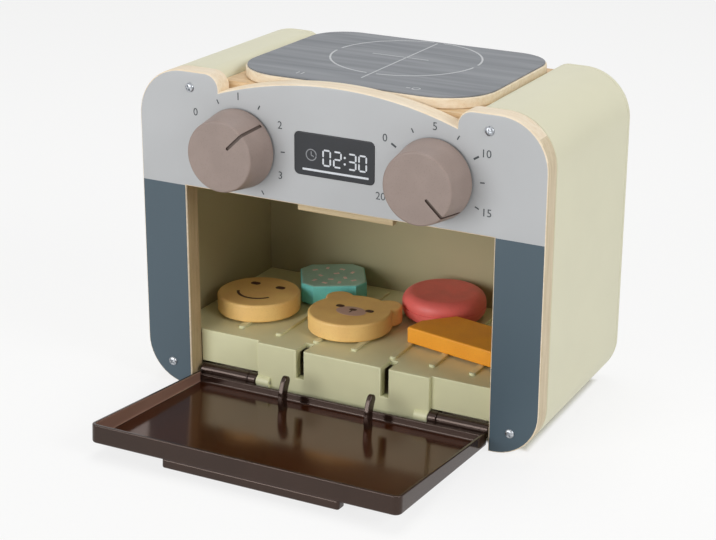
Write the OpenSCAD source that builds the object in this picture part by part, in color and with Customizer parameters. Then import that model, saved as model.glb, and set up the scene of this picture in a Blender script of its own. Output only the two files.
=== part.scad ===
// Wooden toy oven with a drop-down tray door, two turning knobs and loose play biscuits.
// X runs to the right, Y to the back, Z up. The origin is the centre of the body's underside.
// The modules measure Y from the front face of the front panel.

/* [Body] */
// Width of the body
body_w = 250; // [235:1:280]
// Depth of the body from the front panel's face to the back
body_d = 130; // [129:1:170]
// Height of the two rounded ears
ear_h = 191.5; // [188:0.5:210]
// Radius of the outer top corners
ear_r = 28.5; // [20:0.5:32]
// Radius of the outer bottom corners
foot_r = 27; // [20:0.5:30]
// Radius of the inner edge of each ear
hump_r = 9; // [7:0.5:11]
// Wall of the side shells
side_t = 12; // [11:0.5:13]
// Thickness of the bottom board
floor_t = 10; // [8:0.5:12]
// Half gap between the humps behind the front panel
flank_x = 77.5; // [77:0.5:82]

/* [Front panel] */
// Thickness of the front panel
panel_t = 12; // [11:0.5:13]
// Width of the oven opening
opening_w = 191; // [188:0.5:200]
// Height of the oven opening
opening_h = 124; // [122:0.5:126]
// Half distance between the notches beside the arch
notch_x = 72.5; // [71:0.5:76]
// Depth of the notches below the ears' tops
notch_deep = 10; // [8:0.5:12]
// Height of the arch's middle above the ears' tops
arch_over = 2; // [1:0.5:4]

/* [Back cover] */
// Thickness of the back cover
back_t = 8; // [7:0.5:12]
// Radius of its rounded outer edge
back_r = 6; // [3:0.5:6.5]

/* [Cooktop] */
// Width of the cooktop board
cook_w = 153; // [146:0.5:153]
// Thickness of the cooktop board without its face
cook_t = 5.8; // [5:0.2:8]
// Thickness of the printed face
cook_face_t = 0.8; // [0.6:0.1:1.2]
// Edge of the board that the face leaves bare
cook_margin = 0.9; // [0.5:0.1:2]
// Gap between the front panel and the cooktop board
cook_gap = 0.5; // [0.3:0.1:1.5]
// How far the cooktop board reaches past the body's back
cook_overhang = 4; // [2:0.5:8]
// Corner radius at the front
cook_front_r = 32; // [26:1:36]
// Corner radius at the back
cook_back_r = 24; // [18:1:30]
// Thickness of the deck under the cooktop board
deck_t = 6.5; // [5:0.5:8]
// Depth of the deck's top face below the ears' tops
deck_drop = 5.8; // [4:0.1:7]
// Thickness of the ledge that carries the deck
ledge_t = 7; // [6:0.5:8]
// Half gap between the two ledges
ledge_x = 62; // [56:0.5:64]

/* [Knobs] */
// Distance of each knob from the middle
knob_x = 60; // [58:0.5:64]
// How far the knobs' axes lie below the middle of the space behind them
knob_drop = 0.6; // [-2:0.1:3]
// Diameter of a knob at its front
knob_dia = 40.4; // [36:0.2:44]
// How much wider a knob is at its back
knob_flare = 5.4; // [0:0.2:7]
// Length of a knob
knob_len = 20; // [18:0.5:24]
// Radius of the knob's rounded front edge
knob_edge = 1.2; // [0.8:0.1:2]
// Width of the pointer groove
pointer_w = 1.8; // [1.2:0.1:2.4]
// Depth of the pointer groove
pointer_deep = 1; // [0.6:0.1:1.4]
// Inner end of the pointer groove, from the knob's axis
pointer_in = 7; // [5:0.5:9]
// Pointer direction of the left knob
left_pointer = 44; // [-90:1:90]
// Pointer direction of the right knob
right_pointer = -43; // [-90:1:90]
// Diameter of the steel spindles
spindle_dia = 6; // [5:0.5:7]
// Outer diameter of the bushes
bush_dia = 10; // [9.5:0.5:12]
// Diameter of the bush flange, the friction ring and the washer
ring_dia = 15; // [14:0.5:18]
// Thickness of each ring
ring_t = 1; // [0.8:0.1:1.5]
// Running clearance on the radius of every turning fit
run_gap = 0.05; // [0.04:0.01:0.08]
// Gap between faces that slide past each other
face_gap = 0.2; // [0.15:0.05:0.3]

/* [Display] */
// Width of the display window
display_w = 49.4; // [44:0.2:54]
// Height of the display window
display_h = 24.4; // [20:0.2:26]
// How far the display's centre lies above the middle of the space behind it
display_rise = 2.2; // [0:0.1:5]
// Thickness of the display window
display_t = 2.4; // [2.2:0.1:3]
// Depth of the pocket that holds it
pocket_t = 2; // [1.5:0.1:2.1]
// Corner radius of the display window
display_r = 3; // [1:0.5:6]

/* [Base moulding] */
// Height of the oven floor
tray_z = 32.5; // [31:0.5:34]
// Thickness of the oven floor and the fascia
tray_t = 3; // [2.4:0.2:3.4]
// How far the fascia's middle section stands into the front panel
lip_in = 3.8; // [3.4:0.1:4.2]
// How far the fascia's side sections stand into the front panel
fascia_in = 1; // [0.6:0.1:1.4]
// Bottom of the middle section
lip_z = 5; // [4:0.5:6]
// Bottom of the side sections
fascia_z = 12.5; // [12:0.1:13]
// Half width of the middle section
lip_x = 55.5; // [52:0.5:60]
// Number of ribs on the oven floor
rib_n = 7; // [5:2:9]
// Spacing of the ribs
rib_step = 25; // [21:0.5:27]
// Width of a rib
rib_w = 4; // [3:0.5:6]
// Height of a rib
rib_h = 1.5; // [1:0.5:2]
// Width of a finger slot
slot_w = 5; // [4.6:0.2:6]
// Bottom of the finger slots
slot_z = 15; // [14:0.5:18]

/* [Door] */
// Half width of the door
door_x = 93; // [84:0.5:94]
// Gap between the closed door and the top of the opening
door_top_gap = 3; // [2:0.5:5]
// How far the hinge axis lies into the front panel
hinge_in = 3; // [2.6:0.1:3.2]
// Height of the hinge axis
hinge_z = 8.5; // [8.3:0.1:8.8]
// Distance from the hinge axis to the door's outer face
door_drop = 7.8; // [7.6:0.1:8]
// Upward tilt of the open door
door_tilt = 4; // [3:0.5:5]
// Thickness of the door's moulding
door_t = 2; // [1.6:0.1:2.4]
// Depth of the door at its hinge edge
door_back_h = 8; // [7.4:0.1:8.4]
// Start of the door's plate, from the hinge axis
door_start = 5; // [4.8:0.1:9.6]
// Corner radius of the door
door_r = 4; // [3:0.5:6]
// Length of the handle bar
handle_len = 106; // [90:1:120]
// Offset of the handle bar to the right
handle_shift = 6; // [0:1:10]
// Height of the handle bar below the door
handle_h = 4.5; // [3:0.5:5]
// Width of the handle bar
handle_w = 7; // [6:0.5:10]
// Distance of each latch finger from the middle
finger_x = 27.4; // [22:0.2:32]
// Thickness of a latch finger
finger_t = 3; // [2.4:0.2:3.6]
// Inner radius of a latch finger
finger_in = 17.5; // [16:0.5:19]
// Outer radius of a latch finger
finger_out = 23.5; // [22:0.5:23.5]
// Angle of the finger's tip above the door
finger_tip = 37.5; // [30:0.5:42]
// Diameter of the hinge pins
pin_dia = 3; // [2.5:0.1:3.4]
// Length of a hinge pin inside the base moulding
pin_in = 8.5; // [6:0.5:12]
// Width of a hinge lug
lug_w = 5; // [4:0.5:6]
// Side gap of a hinge lug
lug_gap = 0.4; // [0.2:0.1:0.6]

/* [Biscuits] */
// Diameter of the two round biscuits
biscuit_dia = 50; // [44:0.5:50.5]
// Thickness of the two round biscuits
biscuit_t = 11; // [9:0.5:13]
// Diameter of the bear's ears
bear_ear = 17; // [14:0.5:18]
// Width of the square biscuit
square_w = 40; // [36:0.5:41]
// Thickness of the square biscuit
square_t = 13; // [10:0.5:16]
// Cut of the square biscuit's corners
square_cut = 7; // [4:0.5:10]
// Diameter of the sandwich biscuit
sandwich_dia = 51; // [46:0.5:51.5]
// Thickness of the sandwich biscuit
sandwich_t = 16; // [13:0.5:16]
// Width of the orange slice
slice_w = 62; // [54:0.5:64]
// Depth of the orange slice
slice_d = 32; // [28:0.5:33]
// Thickness of the orange slice
slice_t = 10; // [8:0.5:12]
// Length of each cut along the orange slice's back
slice_cut = 12; // [8:0.5:16]
// Height of the orange slice's straight sides
slice_side = 13; // [10:0.5:16]

/* [Fasteners] */
// Shank diameter of the wood screws
screw_dia = 3; // [2.6:0.1:3.4]
// Head diameter of the wood screws
head_dia = 5.4; // [5:0.1:5.8]
// Head height of the wood screws
head_t = 1.4; // [1:0.1:1.8]
// Shank length of the wood screws
screw_len = 20; // [18:0.5:24]

/* [Hidden] */
$fn = 64;
eps = 0.01;
over = 1;

half_w = body_w / 2;
back_y = body_d - back_t;
inner_x = half_w - side_t;
inner_r = foot_r - side_t;
deck_z = ear_h - deck_drop;
ledge_z = deck_z - deck_t - ledge_t;
deck_gap = 0.2;
deck_screw_len = ledge_t + deck_t + cook_t - 1;
cook_z = deck_z + cook_t;
cook_y0 = panel_t + cook_gap;
cook_y1 = body_d + cook_overhang;
arch_h = ear_h + arch_over;
arch_foot_z = ear_h - notch_deep;
arch_rise = arch_h - arch_foot_z;
arch_r = (notch_x * notch_x + arch_rise * arch_rise) / (2 * arch_rise);

ceiling_z = opening_h + 3;
ceiling_t = 5;
works_z = (ceiling_z + ceiling_t + ledge_z) / 2;
knob_z = works_z - knob_drop;
display_z = works_z + display_rise;
knob_back = ring_t + face_gap;
knob_face = knob_back + knob_len;
spindle_end = panel_t + 2 * ring_t + face_gap;
knob_cap = 6;
groove_r = knob_dia / 2 - pointer_deep;
groove_end = 2;
groove_y = -knob_back - groove_end;
spindle_in = knob_len - knob_cap;
spindle_bore = 8;
ring_bore = spindle_dia + 0.6;

// The bottom board, the ceiling and the door stop
board_in = 10;
board_x = half_w - foot_r - board_in;
board_y = panel_t + 8;
board_gap = 0.1;
stop_x = 30;
stop_drop = 7.5;
stop_z = opening_h - stop_drop;
stop_t = 5;

// The base moulding
lip_y = panel_t - lip_in;
fascia_y = panel_t - fascia_in;
hinge_y = panel_t - hinge_in;
tray_x = inner_x - 0.4;
fascia_x = opening_w / 2 - 0.3;
fascia_back = fascia_y + tray_t;
slot_back = hinge_y + sqrt(finger_out * finger_out - pow(tray_z - tray_t - hinge_z, 2)) + 1.2;
rail_half = 8;
rail_y = board_y + 4;
mid_rail = 4;
boss_r = 3.5;
rib_y0 = slot_back + 1.2;
rib_y1 = back_y - 6;

// The door, in a frame whose X axis is the hinge axis and whose -Y axis runs to the free edge
door_len = opening_h - door_top_gap - hinge_z;
lug_x = lip_x + lug_gap;
lug_r = fascia_z - hinge_z - 0.1;
heel_len = 6;
heel_low = 1;
web_t = 2.6;
door_front_h = panel_t - hinge_y + door_drop - 0.2;
door_rear_h = lip_y - hinge_y + door_drop - 0.4;
finger_root = 0.5;

// Wood screws: the places where each set sits
hump_screw_in = 13.7;
hump_screw_drop = 9.5;
front_top = [flank_x + hump_screw_in, ear_h - hump_screw_drop];
foot_turn = 37.5;
foot_screw_r = inner_r + 2;
front_bottom = [half_w - foot_r + foot_screw_r * sin(foot_turn), foot_r - foot_screw_r * cos(foot_turn)];
back_side_x = half_w - back_r - head_dia / 2 - 0.2;
back_side_z = [0.31 * ear_h, 0.68 * ear_h];
back_face = body_d - head_t;
head_sunk = 0.2;
base_screw_in = 20;
base_screw_y = [board_y + base_screw_in, back_y - base_screw_in];
base_screw_x = [board_x - rail_half / 2, board_x + rail_half / 2];
deck_screw_in = 24;
deck_screw_y = [panel_t + deck_screw_in, back_y - deck_screw_in];
deck_screw_x = (ledge_x + flank_x) / 2;

// Where each biscuit lies, as a point on the oven floor
food_z = tray_z + rib_h;
wall_gap = 7.1;
row_gap = 14.5;
smile_at = [biscuit_dia / 2 + wall_gap - tray_x, panel_t + row_gap + 1 + biscuit_dia / 2];
bear_at = [-17.3, panel_t + row_gap - 0.5 + biscuit_dia / 2];
bear_ear_in = 1;
bear_ear_turn = 43;
square_at = [-52, back_y - 28];
square_turn = 31;
sandwich_at = [24, back_y - 2 - sandwich_dia / 2];
slice_gap = 24.5;
slice_at = [tray_x - slice_gap - slice_w / 2, panel_t + row_gap + 12.3 + slice_d / 2];
slice_turn = -11.5;

wood = "#e6cfa8";
cream = "#d2d0b8";
smoke = [0.33, 0.24, 0.21, 0.7];
taupe = "#8f7d72";
steel = "#c9ccd0";

// Puts the panel's front face at the front of the body, centred on the origin
module placed() {
    translate([0, -body_d / 2, 0]) children();
}

// Extrudes a front-view outline from y0 to y1
module slab(y0, y1) {
    translate([0, y1, 0]) rotate([90, 0, 0]) linear_extrude(y1 - y0) children();
}

// Both sides of the middle
module both() {
    children();
    mirror([1, 0, 0]) children();
}

// A shaft along Y from y0 to y1
module shaft(x, z, y0, y1, dia) {
    translate([x, y1, z]) rotate([90, 0, 0]) cylinder(d = dia, h = y1 - y0);
}

module rounded_rect(w, h, r) {
    square([w - 2 * r, h], center = true);
    square([w, h - 2 * r], center = true);
    for (sx = [-1, 1], sy = [-1, 1])
        translate([sx * (w / 2 - r), sy * (h / 2 - r)]) circle(r);
}

// The body's front view without the recess between the ears
module body_outline() {
    translate([-half_w, foot_r]) square([body_w, ear_h - foot_r - ear_r]);
    translate([foot_r - half_w, 0]) square([body_w - 2 * foot_r, foot_r + over]);
    translate([ear_r - half_w, ear_h - ear_r - over]) square([body_w - 2 * ear_r, ear_r + over]);
    for (side = [-1, 1]) {
        translate([side * (half_w - foot_r), foot_r]) circle(foot_r);
        translate([side * (half_w - ear_r), ear_h - ear_r]) circle(ear_r);
    }
}

// The recess between the ears, with the ears' inner edges rounded
module ear_recess(x_in, z_in) {
    translate([-x_in, z_in]) square([2 * x_in, ear_h - z_in + over]);
    for (side = [-1, 1])
        difference() {
            translate([side > 0 ? x_in - eps : -x_in - hump_r, ear_h - hump_r])
                square([hump_r + eps, hump_r + over]);
            translate([side * (x_in + hump_r), ear_h - hump_r]) circle(hump_r);
        }
}

// The hollow inside the two side shells
module inner_outline() {
    translate([-inner_x, floor_t + inner_r])
        square([2 * inner_x, ledge_z - floor_t - 2 * inner_r]);
    translate([inner_r - inner_x, floor_t]) square([2 * (inner_x - inner_r), ledge_z - floor_t]);
    for (side = [-1, 1], z = [floor_t + inner_r, ledge_z - inner_r])
        translate([side * (inner_x - inner_r), z]) circle(inner_r);
}

// The hole and the head recess of a base screw
module base_screw_hole() {
    translate([0, 0, -over]) cylinder(d = screw_dia, h = screw_len + over);
    translate([0, 0, -over]) cylinder(d = head_dia, h = head_t + over);
}

// A wood screw along Y whose head sits on the face at y, shank towards +Y or -Y
module screw(x, z, y, way) {
    shaft(x, z, way > 0 ? y - head_t : y, way > 0 ? y : y + head_t, head_dia);
    shaft(x, z, way > 0 ? y : y - screw_len, way > 0 ? y + screw_len : y, screw_dia);
}

// The same screws' holes
module screw_hole(x, z, y, way) {
    shaft(x, z, way > 0 ? y - over : y - screw_len, way > 0 ? y + screw_len : y + over, screw_dia);
}

module front_screw_places() {
    for (side = [-1, 1], at = [front_top, front_bottom]) translate([side * at[0], 0, at[1]]) children();
}

module back_screw_places() {
    for (side = [-1, 1]) {
        for (z = back_side_z) translate([side * back_side_x, 0, z]) children();
        translate([side * front_top[0], 0, front_top[1]]) children();
    }
}

module base_screw_places() {
    for (side = [-1, 1], x = base_screw_x, y = base_screw_y) translate([side * x, y, 0]) children();
}

module deck_screw_places() {
    for (side = [-1, 1], y = deck_screw_y) translate([side * deck_screw_x, y, ledge_z]) children();
}

// The front panel: ears, arch and a doorway open at the bottom
module panel_outline() {
    difference() {
        body_outline();
        ear_recess(notch_x, arch_foot_z);
        translate([-opening_w / 2, -over]) square([opening_w, opening_h + over]);
    }
    intersection() {
        translate([0, arch_h - arch_r]) circle(arch_r, $fn = 240);
        translate([-notch_x, arch_foot_z - over]) square([2 * notch_x, arch_rise + 2 * over]);
    }
}

module front_panel() {
    color(wood) placed() difference() {
        slab(0, panel_t) panel_outline();
        for (side = [-1, 1]) shaft(side * knob_x, knob_z, -over, panel_t + over, bush_dia);
        slab(-over, pocket_t) translate([0, display_z]) rounded_rect(display_w, display_h, display_r);
        front_screw_places() screw_hole(0, 0, 0, 1);
    }
}

module display_window() {
    color("#3d4250") placed() slab(pocket_t - display_t, pocket_t)
        translate([0, display_z]) rounded_rect(display_w, display_h, display_r);
}

// One side shell: outer wall, hump and the ledge for the deck
module shell_outline() {
    difference() {
        body_outline();
        inner_outline();
        ear_recess(flank_x, deck_z - deck_t);
        translate([-ledge_x, ledge_z - over]) square([2 * ledge_x, deck_t + ledge_t + 2 * over]);
        translate([-board_x, -over]) square([2 * board_x, floor_t + 2 * over]);
        translate([-half_w - over, -over]) square([half_w + over, ear_h + 2 * over]);
    }
}

module side_shell() {
    difference() {
        slab(panel_t, back_y) shell_outline();
        front_screw_places() screw_hole(0, 0, 0, 1);
        back_screw_places() screw_hole(0, 0, back_face, -1);
        base_screw_places() base_screw_hole();
        deck_screw_places() translate([0, 0, -over]) cylinder(d = screw_dia, h = ledge_t + 2 * over);
    }
}

module left_shell() {
    color(cream) placed() mirror([1, 0, 0]) side_shell();
}

module right_shell() {
    color(cream) placed() side_shell();
}

// Points of the back cover's outline, drawn in by d. The deck lies on its top edge.
function arc(cx, cz, r, a0, a1, n) =
    [for (i = [0 : n]) let (a = a0 + (a1 - a0) * i / n) [cx + r * cos(a), cz + r * sin(a)]];
function half_cover(d) = concat(
    arc(half_w - foot_r, foot_r, foot_r - d, -90, 0, 10),
    arc(half_w - ear_r, ear_h - ear_r, ear_r - d, 0, 90, 12),
    arc(flank_x + hump_r, ear_h - hump_r, hump_r - d, 90, 180, 6),
    [[flank_x + d, deck_z - deck_t - d]]);
function cover_ring(d, y) = let (right = half_cover(d), n = len(right))
    [for (i = [0 : 2 * n - 1]) let (p = right[i < n ? i : 2 * n - 1 - i]) [i < n ? p[0] : -p[0], y, p[1]]];

module cover_body() {
    steps = 6;
    rings = concat([cover_ring(0, back_y)], [for (k = [0 : steps]) let (a = 90 * k / steps)
        cover_ring(back_r * (1 - cos(a)), body_d - back_r * (1 - sin(a)))]);
    n = len(rings[0]);
    last = len(rings) - 1;
    polyhedron(
        points = [for (ring = rings) each ring],
        faces = concat(
            [[for (i = [0 : n - 1]) i]],
            [for (k = [0 : last - 1], i = [0 : n - 1]) let (a = k * n, j = (i + 1) % n)
                each [[a + j, a + i, a + n + i], [a + j, a + n + i, a + n + j]]],
            [[for (i = [n - 1 : -1 : 0]) last * n + i]]));
}

module back_cover() {
    color(cream) placed() difference() {
        cover_body();
        back_screw_places() {
            screw_hole(0, 0, back_face, -1);
            shaft(0, 0, back_face, body_d + over, head_dia);
        }
    }
}

module bottom_board() {
    color(wood) placed() difference() {
        translate([-board_x, board_y, 0]) cube([2 * board_x, back_y - board_y, floor_t]);
        base_screw_places() base_screw_hole();
    }
}

module top_deck() {
    color(wood) placed() difference() {
        translate([deck_gap - flank_x, panel_t, deck_z - deck_t])
            cube([2 * (flank_x - deck_gap), body_d - panel_t, deck_t]);
        deck_screw_places() cylinder(d = screw_dia, h = deck_screw_len);
    }
}

module oven_ceiling() {
    color(wood) placed() translate([board_gap - inner_x, panel_t, ceiling_z])
        cube([2 * (inner_x - board_gap), back_y - panel_t, ceiling_t]);
}

module door_stop() {
    color("#ead9bd") placed() translate([-stop_x, panel_t, stop_z])
        cube([2 * stop_x, stop_t, ceiling_z - stop_z]);
}

// The cooktop's plan, drawn in by d
module cook_outline(d) {
    w = cook_w / 2 - d;
    y0 = cook_y0 + d;
    y1 = cook_y1 - d;
    rf = cook_front_r - d;
    rb = cook_back_r - d;
    translate([rf - w, y0]) square([2 * (w - rf), y1 - y0]);
    translate([rb - w, y0 + rf]) square([2 * (w - rb), y1 - y0 - rf]);
    translate([-w, y0 + rf]) square([2 * w, y1 - y0 - rf - rb]);
    for (side = [-1, 1]) {
        translate([side * (w - rf), y0 + rf]) circle(rf, $fn = 96);
        translate([side * (w - rb), y1 - rb]) circle(rb, $fn = 96);
    }
}

module cooktop_board() {
    color(wood) placed() difference() {
        translate([0, 0, deck_z]) linear_extrude(cook_t) cook_outline(0);
        deck_screw_places() cylinder(d = screw_dia, h = deck_screw_len);
    }
}

module cooktop_face() {
    color("#878a8f") placed() translate([0, 0, cook_z]) linear_extrude(cook_face_t)
        cook_outline(cook_margin);
}

// The base moulding: oven floor, ribs, fascia with finger slots, rails and hinge bosses
module base_solid() {
    translate([-tray_x, panel_t + face_gap, tray_z - tray_t])
        cube([2 * tray_x, back_y - panel_t - 2 * face_gap, tray_t]);
    translate([-fascia_x, fascia_y, fascia_z]) cube([2 * fascia_x, tray_t, tray_z - fascia_z]);
    translate([-lip_x, lip_y, lip_z]) cube([2 * lip_x, fascia_back - lip_y, tray_z - lip_z]);
    for (i = [0 : rib_n - 1]) translate([(i - (rib_n - 1) / 2) * rib_step, 0, tray_z - eps]) rib();
    both() translate([board_x - rail_half, rail_y, floor_t])
        cube([2 * rail_half, back_y - rail_y - 2, tray_z - tray_t - floor_t + eps]);
    translate([-mid_rail / 2, rail_y, floor_t])
        cube([mid_rail, back_y - rail_y - 2, tray_z - tray_t - floor_t + eps]);
    both() translate([lip_x - pin_in, hinge_y, hinge_z]) rotate([0, 90, 0])
        cylinder(r = boss_r, h = pin_in);
}

module rib() {
    translate([-rib_w / 2, rib_y0 + rib_w / 2, 0]) cube([rib_w, rib_y1 - rib_y0 - rib_w, rib_h + eps]);
    for (y = [rib_y0 + rib_w / 2, rib_y1 - rib_w / 2]) translate([0, y, 0])
        cylinder(d = rib_w, h = rib_h + eps);
}

module base_moulding() {
    color("#c6c7a6") placed() difference() {
        base_solid();
        for (side = [-1, 1]) {
            translate([side * finger_x - slot_w / 2, lip_y - over, slot_z])
                cube([slot_w, fascia_back - lip_y + 2 * over, tray_z - slot_z + over]);
            translate([side * finger_x - slot_w / 2, lip_y, tray_z - tray_t - over])
                cube([slot_w, slot_back - lip_y, tray_t + rib_h + 2 * over]);
        }
        both() translate([lip_x - pin_in, hinge_y, hinge_z]) rotate([0, 90, 0])
            cylinder(d = pin_dia, h = pin_in + over);
        base_screw_places() base_screw_hole();
    }
}

module hinge_pins() {
    color(steel) placed() both() translate([lip_x - pin_in, hinge_y, hinge_z]) rotate([0, 90, 0])
        cylinder(d = pin_dia, h = pin_in + lug_gap + lug_w);
}

// Moves the door's own frame onto the open hinge
module on_hinge() {
    translate([0, hinge_y, hinge_z]) rotate([-door_tilt, 0, 0]) children();
}

// A side view of the door, drawn as distance from the axis and height over the axis
module door_side(x0, x1) {
    translate([x0, 0, 0]) rotate([90, 0, 90]) linear_extrude(x1 - x0)
        mirror([1, 0]) children();
}

module door_shell() {
    mid = (door_start + door_len) / 2;
    difference() {
        translate([0, -mid, -door_drop]) linear_extrude(door_front_h)
            rounded_rect(2 * door_x, door_len - door_start, door_r);
        translate([0, -mid, door_t - door_drop]) linear_extrude(door_front_h)
            rounded_rect(2 * (door_x - door_t), door_len - door_start - 2 * door_t, door_r - door_t / 2);
        door_side(-door_x - over, door_x + over) polygon([[0, door_back_h - door_drop],
            [door_start, door_back_h - door_drop], [door_len, door_front_h - door_drop],
            [door_len, 2 * door_front_h], [0, 2 * door_front_h]]);
        translate([-door_x + door_t, -door_start - door_t - eps, door_rear_h - door_drop])
            cube([2 * (door_x - door_t), door_t + over, door_front_h]);
    }
}

module door_finger() {
    intersection() {
        difference() {
            rotate([0, 90, 0]) cylinder(r = finger_out, h = finger_t);
            translate([-over, 0, 0]) rotate([0, 90, 0])
                cylinder(r = finger_in, h = finger_t + 2 * over);
        }
        door_side(-over, finger_t + over) polygon([[0, door_t - door_drop - finger_root],
            [2 * finger_out, door_t - door_drop - finger_root],
            [2 * finger_out, 2 * finger_out * tan(finger_tip)], [0, 0]]);
    }
}

module door_lug() {
    difference() {
        union() {
            rotate([0, 90, 0]) cylinder(r = lug_r, h = lug_w);
            door_side(0, lug_w) translate([0, door_rear_h - door_drop - web_t])
                square([door_start + door_t / 2, web_t]);
            door_side(0, lug_w) translate([-heel_len, -heel_low]) square([heel_len, lug_r + heel_low]);
        }
        translate([-over, 0, 0]) rotate([0, 90, 0])
            cylinder(d = pin_dia + 2 * run_gap, h = lug_w + 2 * over);
    }
}

module door() {
    color(smoke) placed() on_hinge() {
        door_shell();
        translate([handle_shift - handle_len / 2, -door_len, -door_drop - handle_h])
            cube([handle_len, handle_w, handle_h + eps]);
        for (side = [-1, 1]) translate([side * finger_x - finger_t / 2, 0, 0]) door_finger();
        translate([lug_x, 0, 0]) door_lug();
        translate([-lug_x - lug_w, 0, 0]) door_lug();
    }
}

// One knob on its own axis, with its front at -Y
module knob(pointer) {
    difference() {
        union() {
            translate([0, -knob_back, 0]) rotate([90, 0, 0])
                cylinder(d1 = knob_dia + knob_flare, d2 = knob_dia, h = knob_len - knob_edge);
            translate([0, knob_edge - knob_face, 0]) rotate([90, 0, 0])
                cylinder(d1 = knob_dia, d2 = knob_dia - 2 * knob_edge, h = knob_edge);
        }
        shaft(0, 0, -knob_back - spindle_in, over, spindle_dia);
        rotate([0, -pointer, 0]) {
            translate([pointer_in, -knob_face - over, -pointer_w / 2])
                cube([knob_dia, pointer_deep + over, pointer_w]);
            translate([0, 0, -pointer_w / 2]) linear_extrude(pointer_w)
                polygon([[groove_r, -knob_face - over], [knob_dia, -knob_face - over],
                    [knob_dia, groove_y], [groove_r + knob_flare / 2, groove_y]]);
        }
    }
}

module left_knob() {
    color(taupe) placed() translate([-knob_x, 0, knob_z]) knob(left_pointer);
}

module right_knob() {
    color(taupe) placed() translate([knob_x, 0, knob_z]) knob(right_pointer);
}

module spindle() {
    difference() {
        shaft(0, 0, -knob_back - spindle_in, spindle_end, spindle_dia);
        shaft(0, 0, spindle_end - spindle_bore, spindle_end + over, screw_dia);
    }
}

module left_spindle() {
    color(steel) placed() translate([-knob_x, 0, knob_z]) spindle();
}

module right_spindle() {
    color(steel) placed() translate([knob_x, 0, knob_z]) spindle();
}

// A flat ring along Y from y0 with a bore
module ring(y0, dia, bore) {
    difference() {
        shaft(0, 0, y0, y0 + ring_t, dia);
        shaft(0, 0, y0 - over, y0 + ring_t + over, bore);
    }
}

module knob_bushes() {
    color("ivory") placed() for (side = [-1, 1]) translate([side * knob_x, 0, knob_z]) difference() {
        union() {
            shaft(0, 0, -ring_t, 0, ring_dia);
            shaft(0, 0, -eps, panel_t + ring_t, bush_dia);
        }
        shaft(0, 0, -ring_t - over, panel_t + ring_t + over, spindle_dia + 2 * run_gap);
    }
}

module friction_rings() {
    color("#5a5f66") placed() for (side = [-1, 1])
        translate([side * knob_x, 0, knob_z]) ring(panel_t + ring_t, ring_dia, ring_bore);
}

// The washer closes on the spindle's end
module left_washer() {
    color(steel) placed() translate([-knob_x, 0, knob_z]) ring(spindle_end, ring_dia, screw_dia);
}

module right_washer() {
    color(steel) placed() translate([knob_x, 0, knob_z]) ring(spindle_end, ring_dia, screw_dia);
}

module knob_screw() {
    shaft(0, 0, spindle_end + ring_t, spindle_end + ring_t + head_t, head_dia);
    shaft(0, 0, spindle_end - spindle_bore, spindle_end + ring_t + eps, screw_dia);
}

module left_knob_screw() {
    color(steel) placed() translate([-knob_x, 0, knob_z]) knob_screw();
}

module right_knob_screw() {
    color(steel) placed() translate([knob_x, 0, knob_z]) knob_screw();
}

module front_screws() {
    color(steel) placed() front_screw_places() screw(0, 0, 0, 1);
}

module back_screws() {
    color(steel) placed() back_screw_places() screw(0, 0, back_face, -1);
}

module base_screws() {
    color(steel) placed() base_screw_places() {
        translate([0, 0, head_sunk]) cylinder(d = head_dia, h = head_t - head_sunk);
        translate([0, 0, head_t - eps]) cylinder(d = screw_dia, h = screw_len - head_t);
    }
}

module deck_screws() {
    color(steel) placed() deck_screw_places() {
        translate([0, 0, -head_t]) cylinder(d = head_dia, h = head_t);
        translate([0, 0, -eps]) cylinder(d = screw_dia, h = deck_screw_len);
    }
}

module disc(at, dia, t) {
    translate([at[0], at[1], food_z]) cylinder(d = dia, h = t);
}

module smiling_biscuit() {
    color("#e9b878") placed() disc(smile_at, biscuit_dia, biscuit_t);
}

module bear_biscuit() {
    out = biscuit_dia / 2 - bear_ear_in;
    color("#e3ad6c") placed() {
        disc(bear_at, biscuit_dia, biscuit_t);
        for (turn = [-bear_ear_turn, bear_ear_turn])
            disc(bear_at + out * [sin(turn), cos(turn)], bear_ear, biscuit_t);
    }
}

// A square biscuit with cut corners
module square_biscuit() {
    h = square_w / 2;
    k = h - square_cut;
    color("#5fbeb9") placed() translate([square_at[0], square_at[1], food_z]) rotate([0, 0, square_turn])
        linear_extrude(square_t) polygon([[-k, -h], [k, -h], [h, -k], [h, k], [k, h], [-k, h], [-h, k],
            [-h, -k]]);
}

// Two rounded halves in one turned piece
module sandwich_biscuit() {
    r = sandwich_dia / 2;
    e = sandwich_t * 0.4;
    color("#cd5555") placed() translate([sandwich_at[0], sandwich_at[1], food_z]) rotate_extrude($fn = 96) {
        square([r - e, sandwich_t]);
        translate([0, e]) square([r, sandwich_t - 2 * e]);
        for (z = [e, sandwich_t - e]) translate([r - e, z]) circle(e, $fn = 32);
    }
}

// Half an orange slice, its straight edge at the front
module orange_slice() {
    w = slice_w / 2;
    h = slice_d / 2;
    color("#fa9b32") placed() translate([slice_at[0], slice_at[1], food_z]) rotate([0, 0, slice_turn])
        linear_extrude(slice_t) polygon([[-w, -h], [w, -h], [w, slice_side - h], [w - slice_cut, h],
            [slice_cut - w, h], [-w, slice_side - h]]);
}

front_panel();
left_shell();
right_shell();
back_cover();
bottom_board();
top_deck();
oven_ceiling();
cooktop_board();
cooktop_face();
base_moulding();
door();
hinge_pins();
door_stop();
display_window();
left_knob();
right_knob();
left_spindle();
right_spindle();
knob_bushes();
friction_rings();
left_washer();
right_washer();
left_knob_screw();
right_knob_screw();
front_screws();
back_screws();
base_screws();
deck_screws();
smiling_biscuit();
bear_biscuit();
square_biscuit();
sandwich_biscuit();
orange_slice();
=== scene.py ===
"""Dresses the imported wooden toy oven: boards, prints, smoked tray door, knobs, biscuits and stage."""
import math

import bmesh
import bpy
from mathutils import Matrix, Vector
from mathutils.geometry import tessellate_polygon


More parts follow.
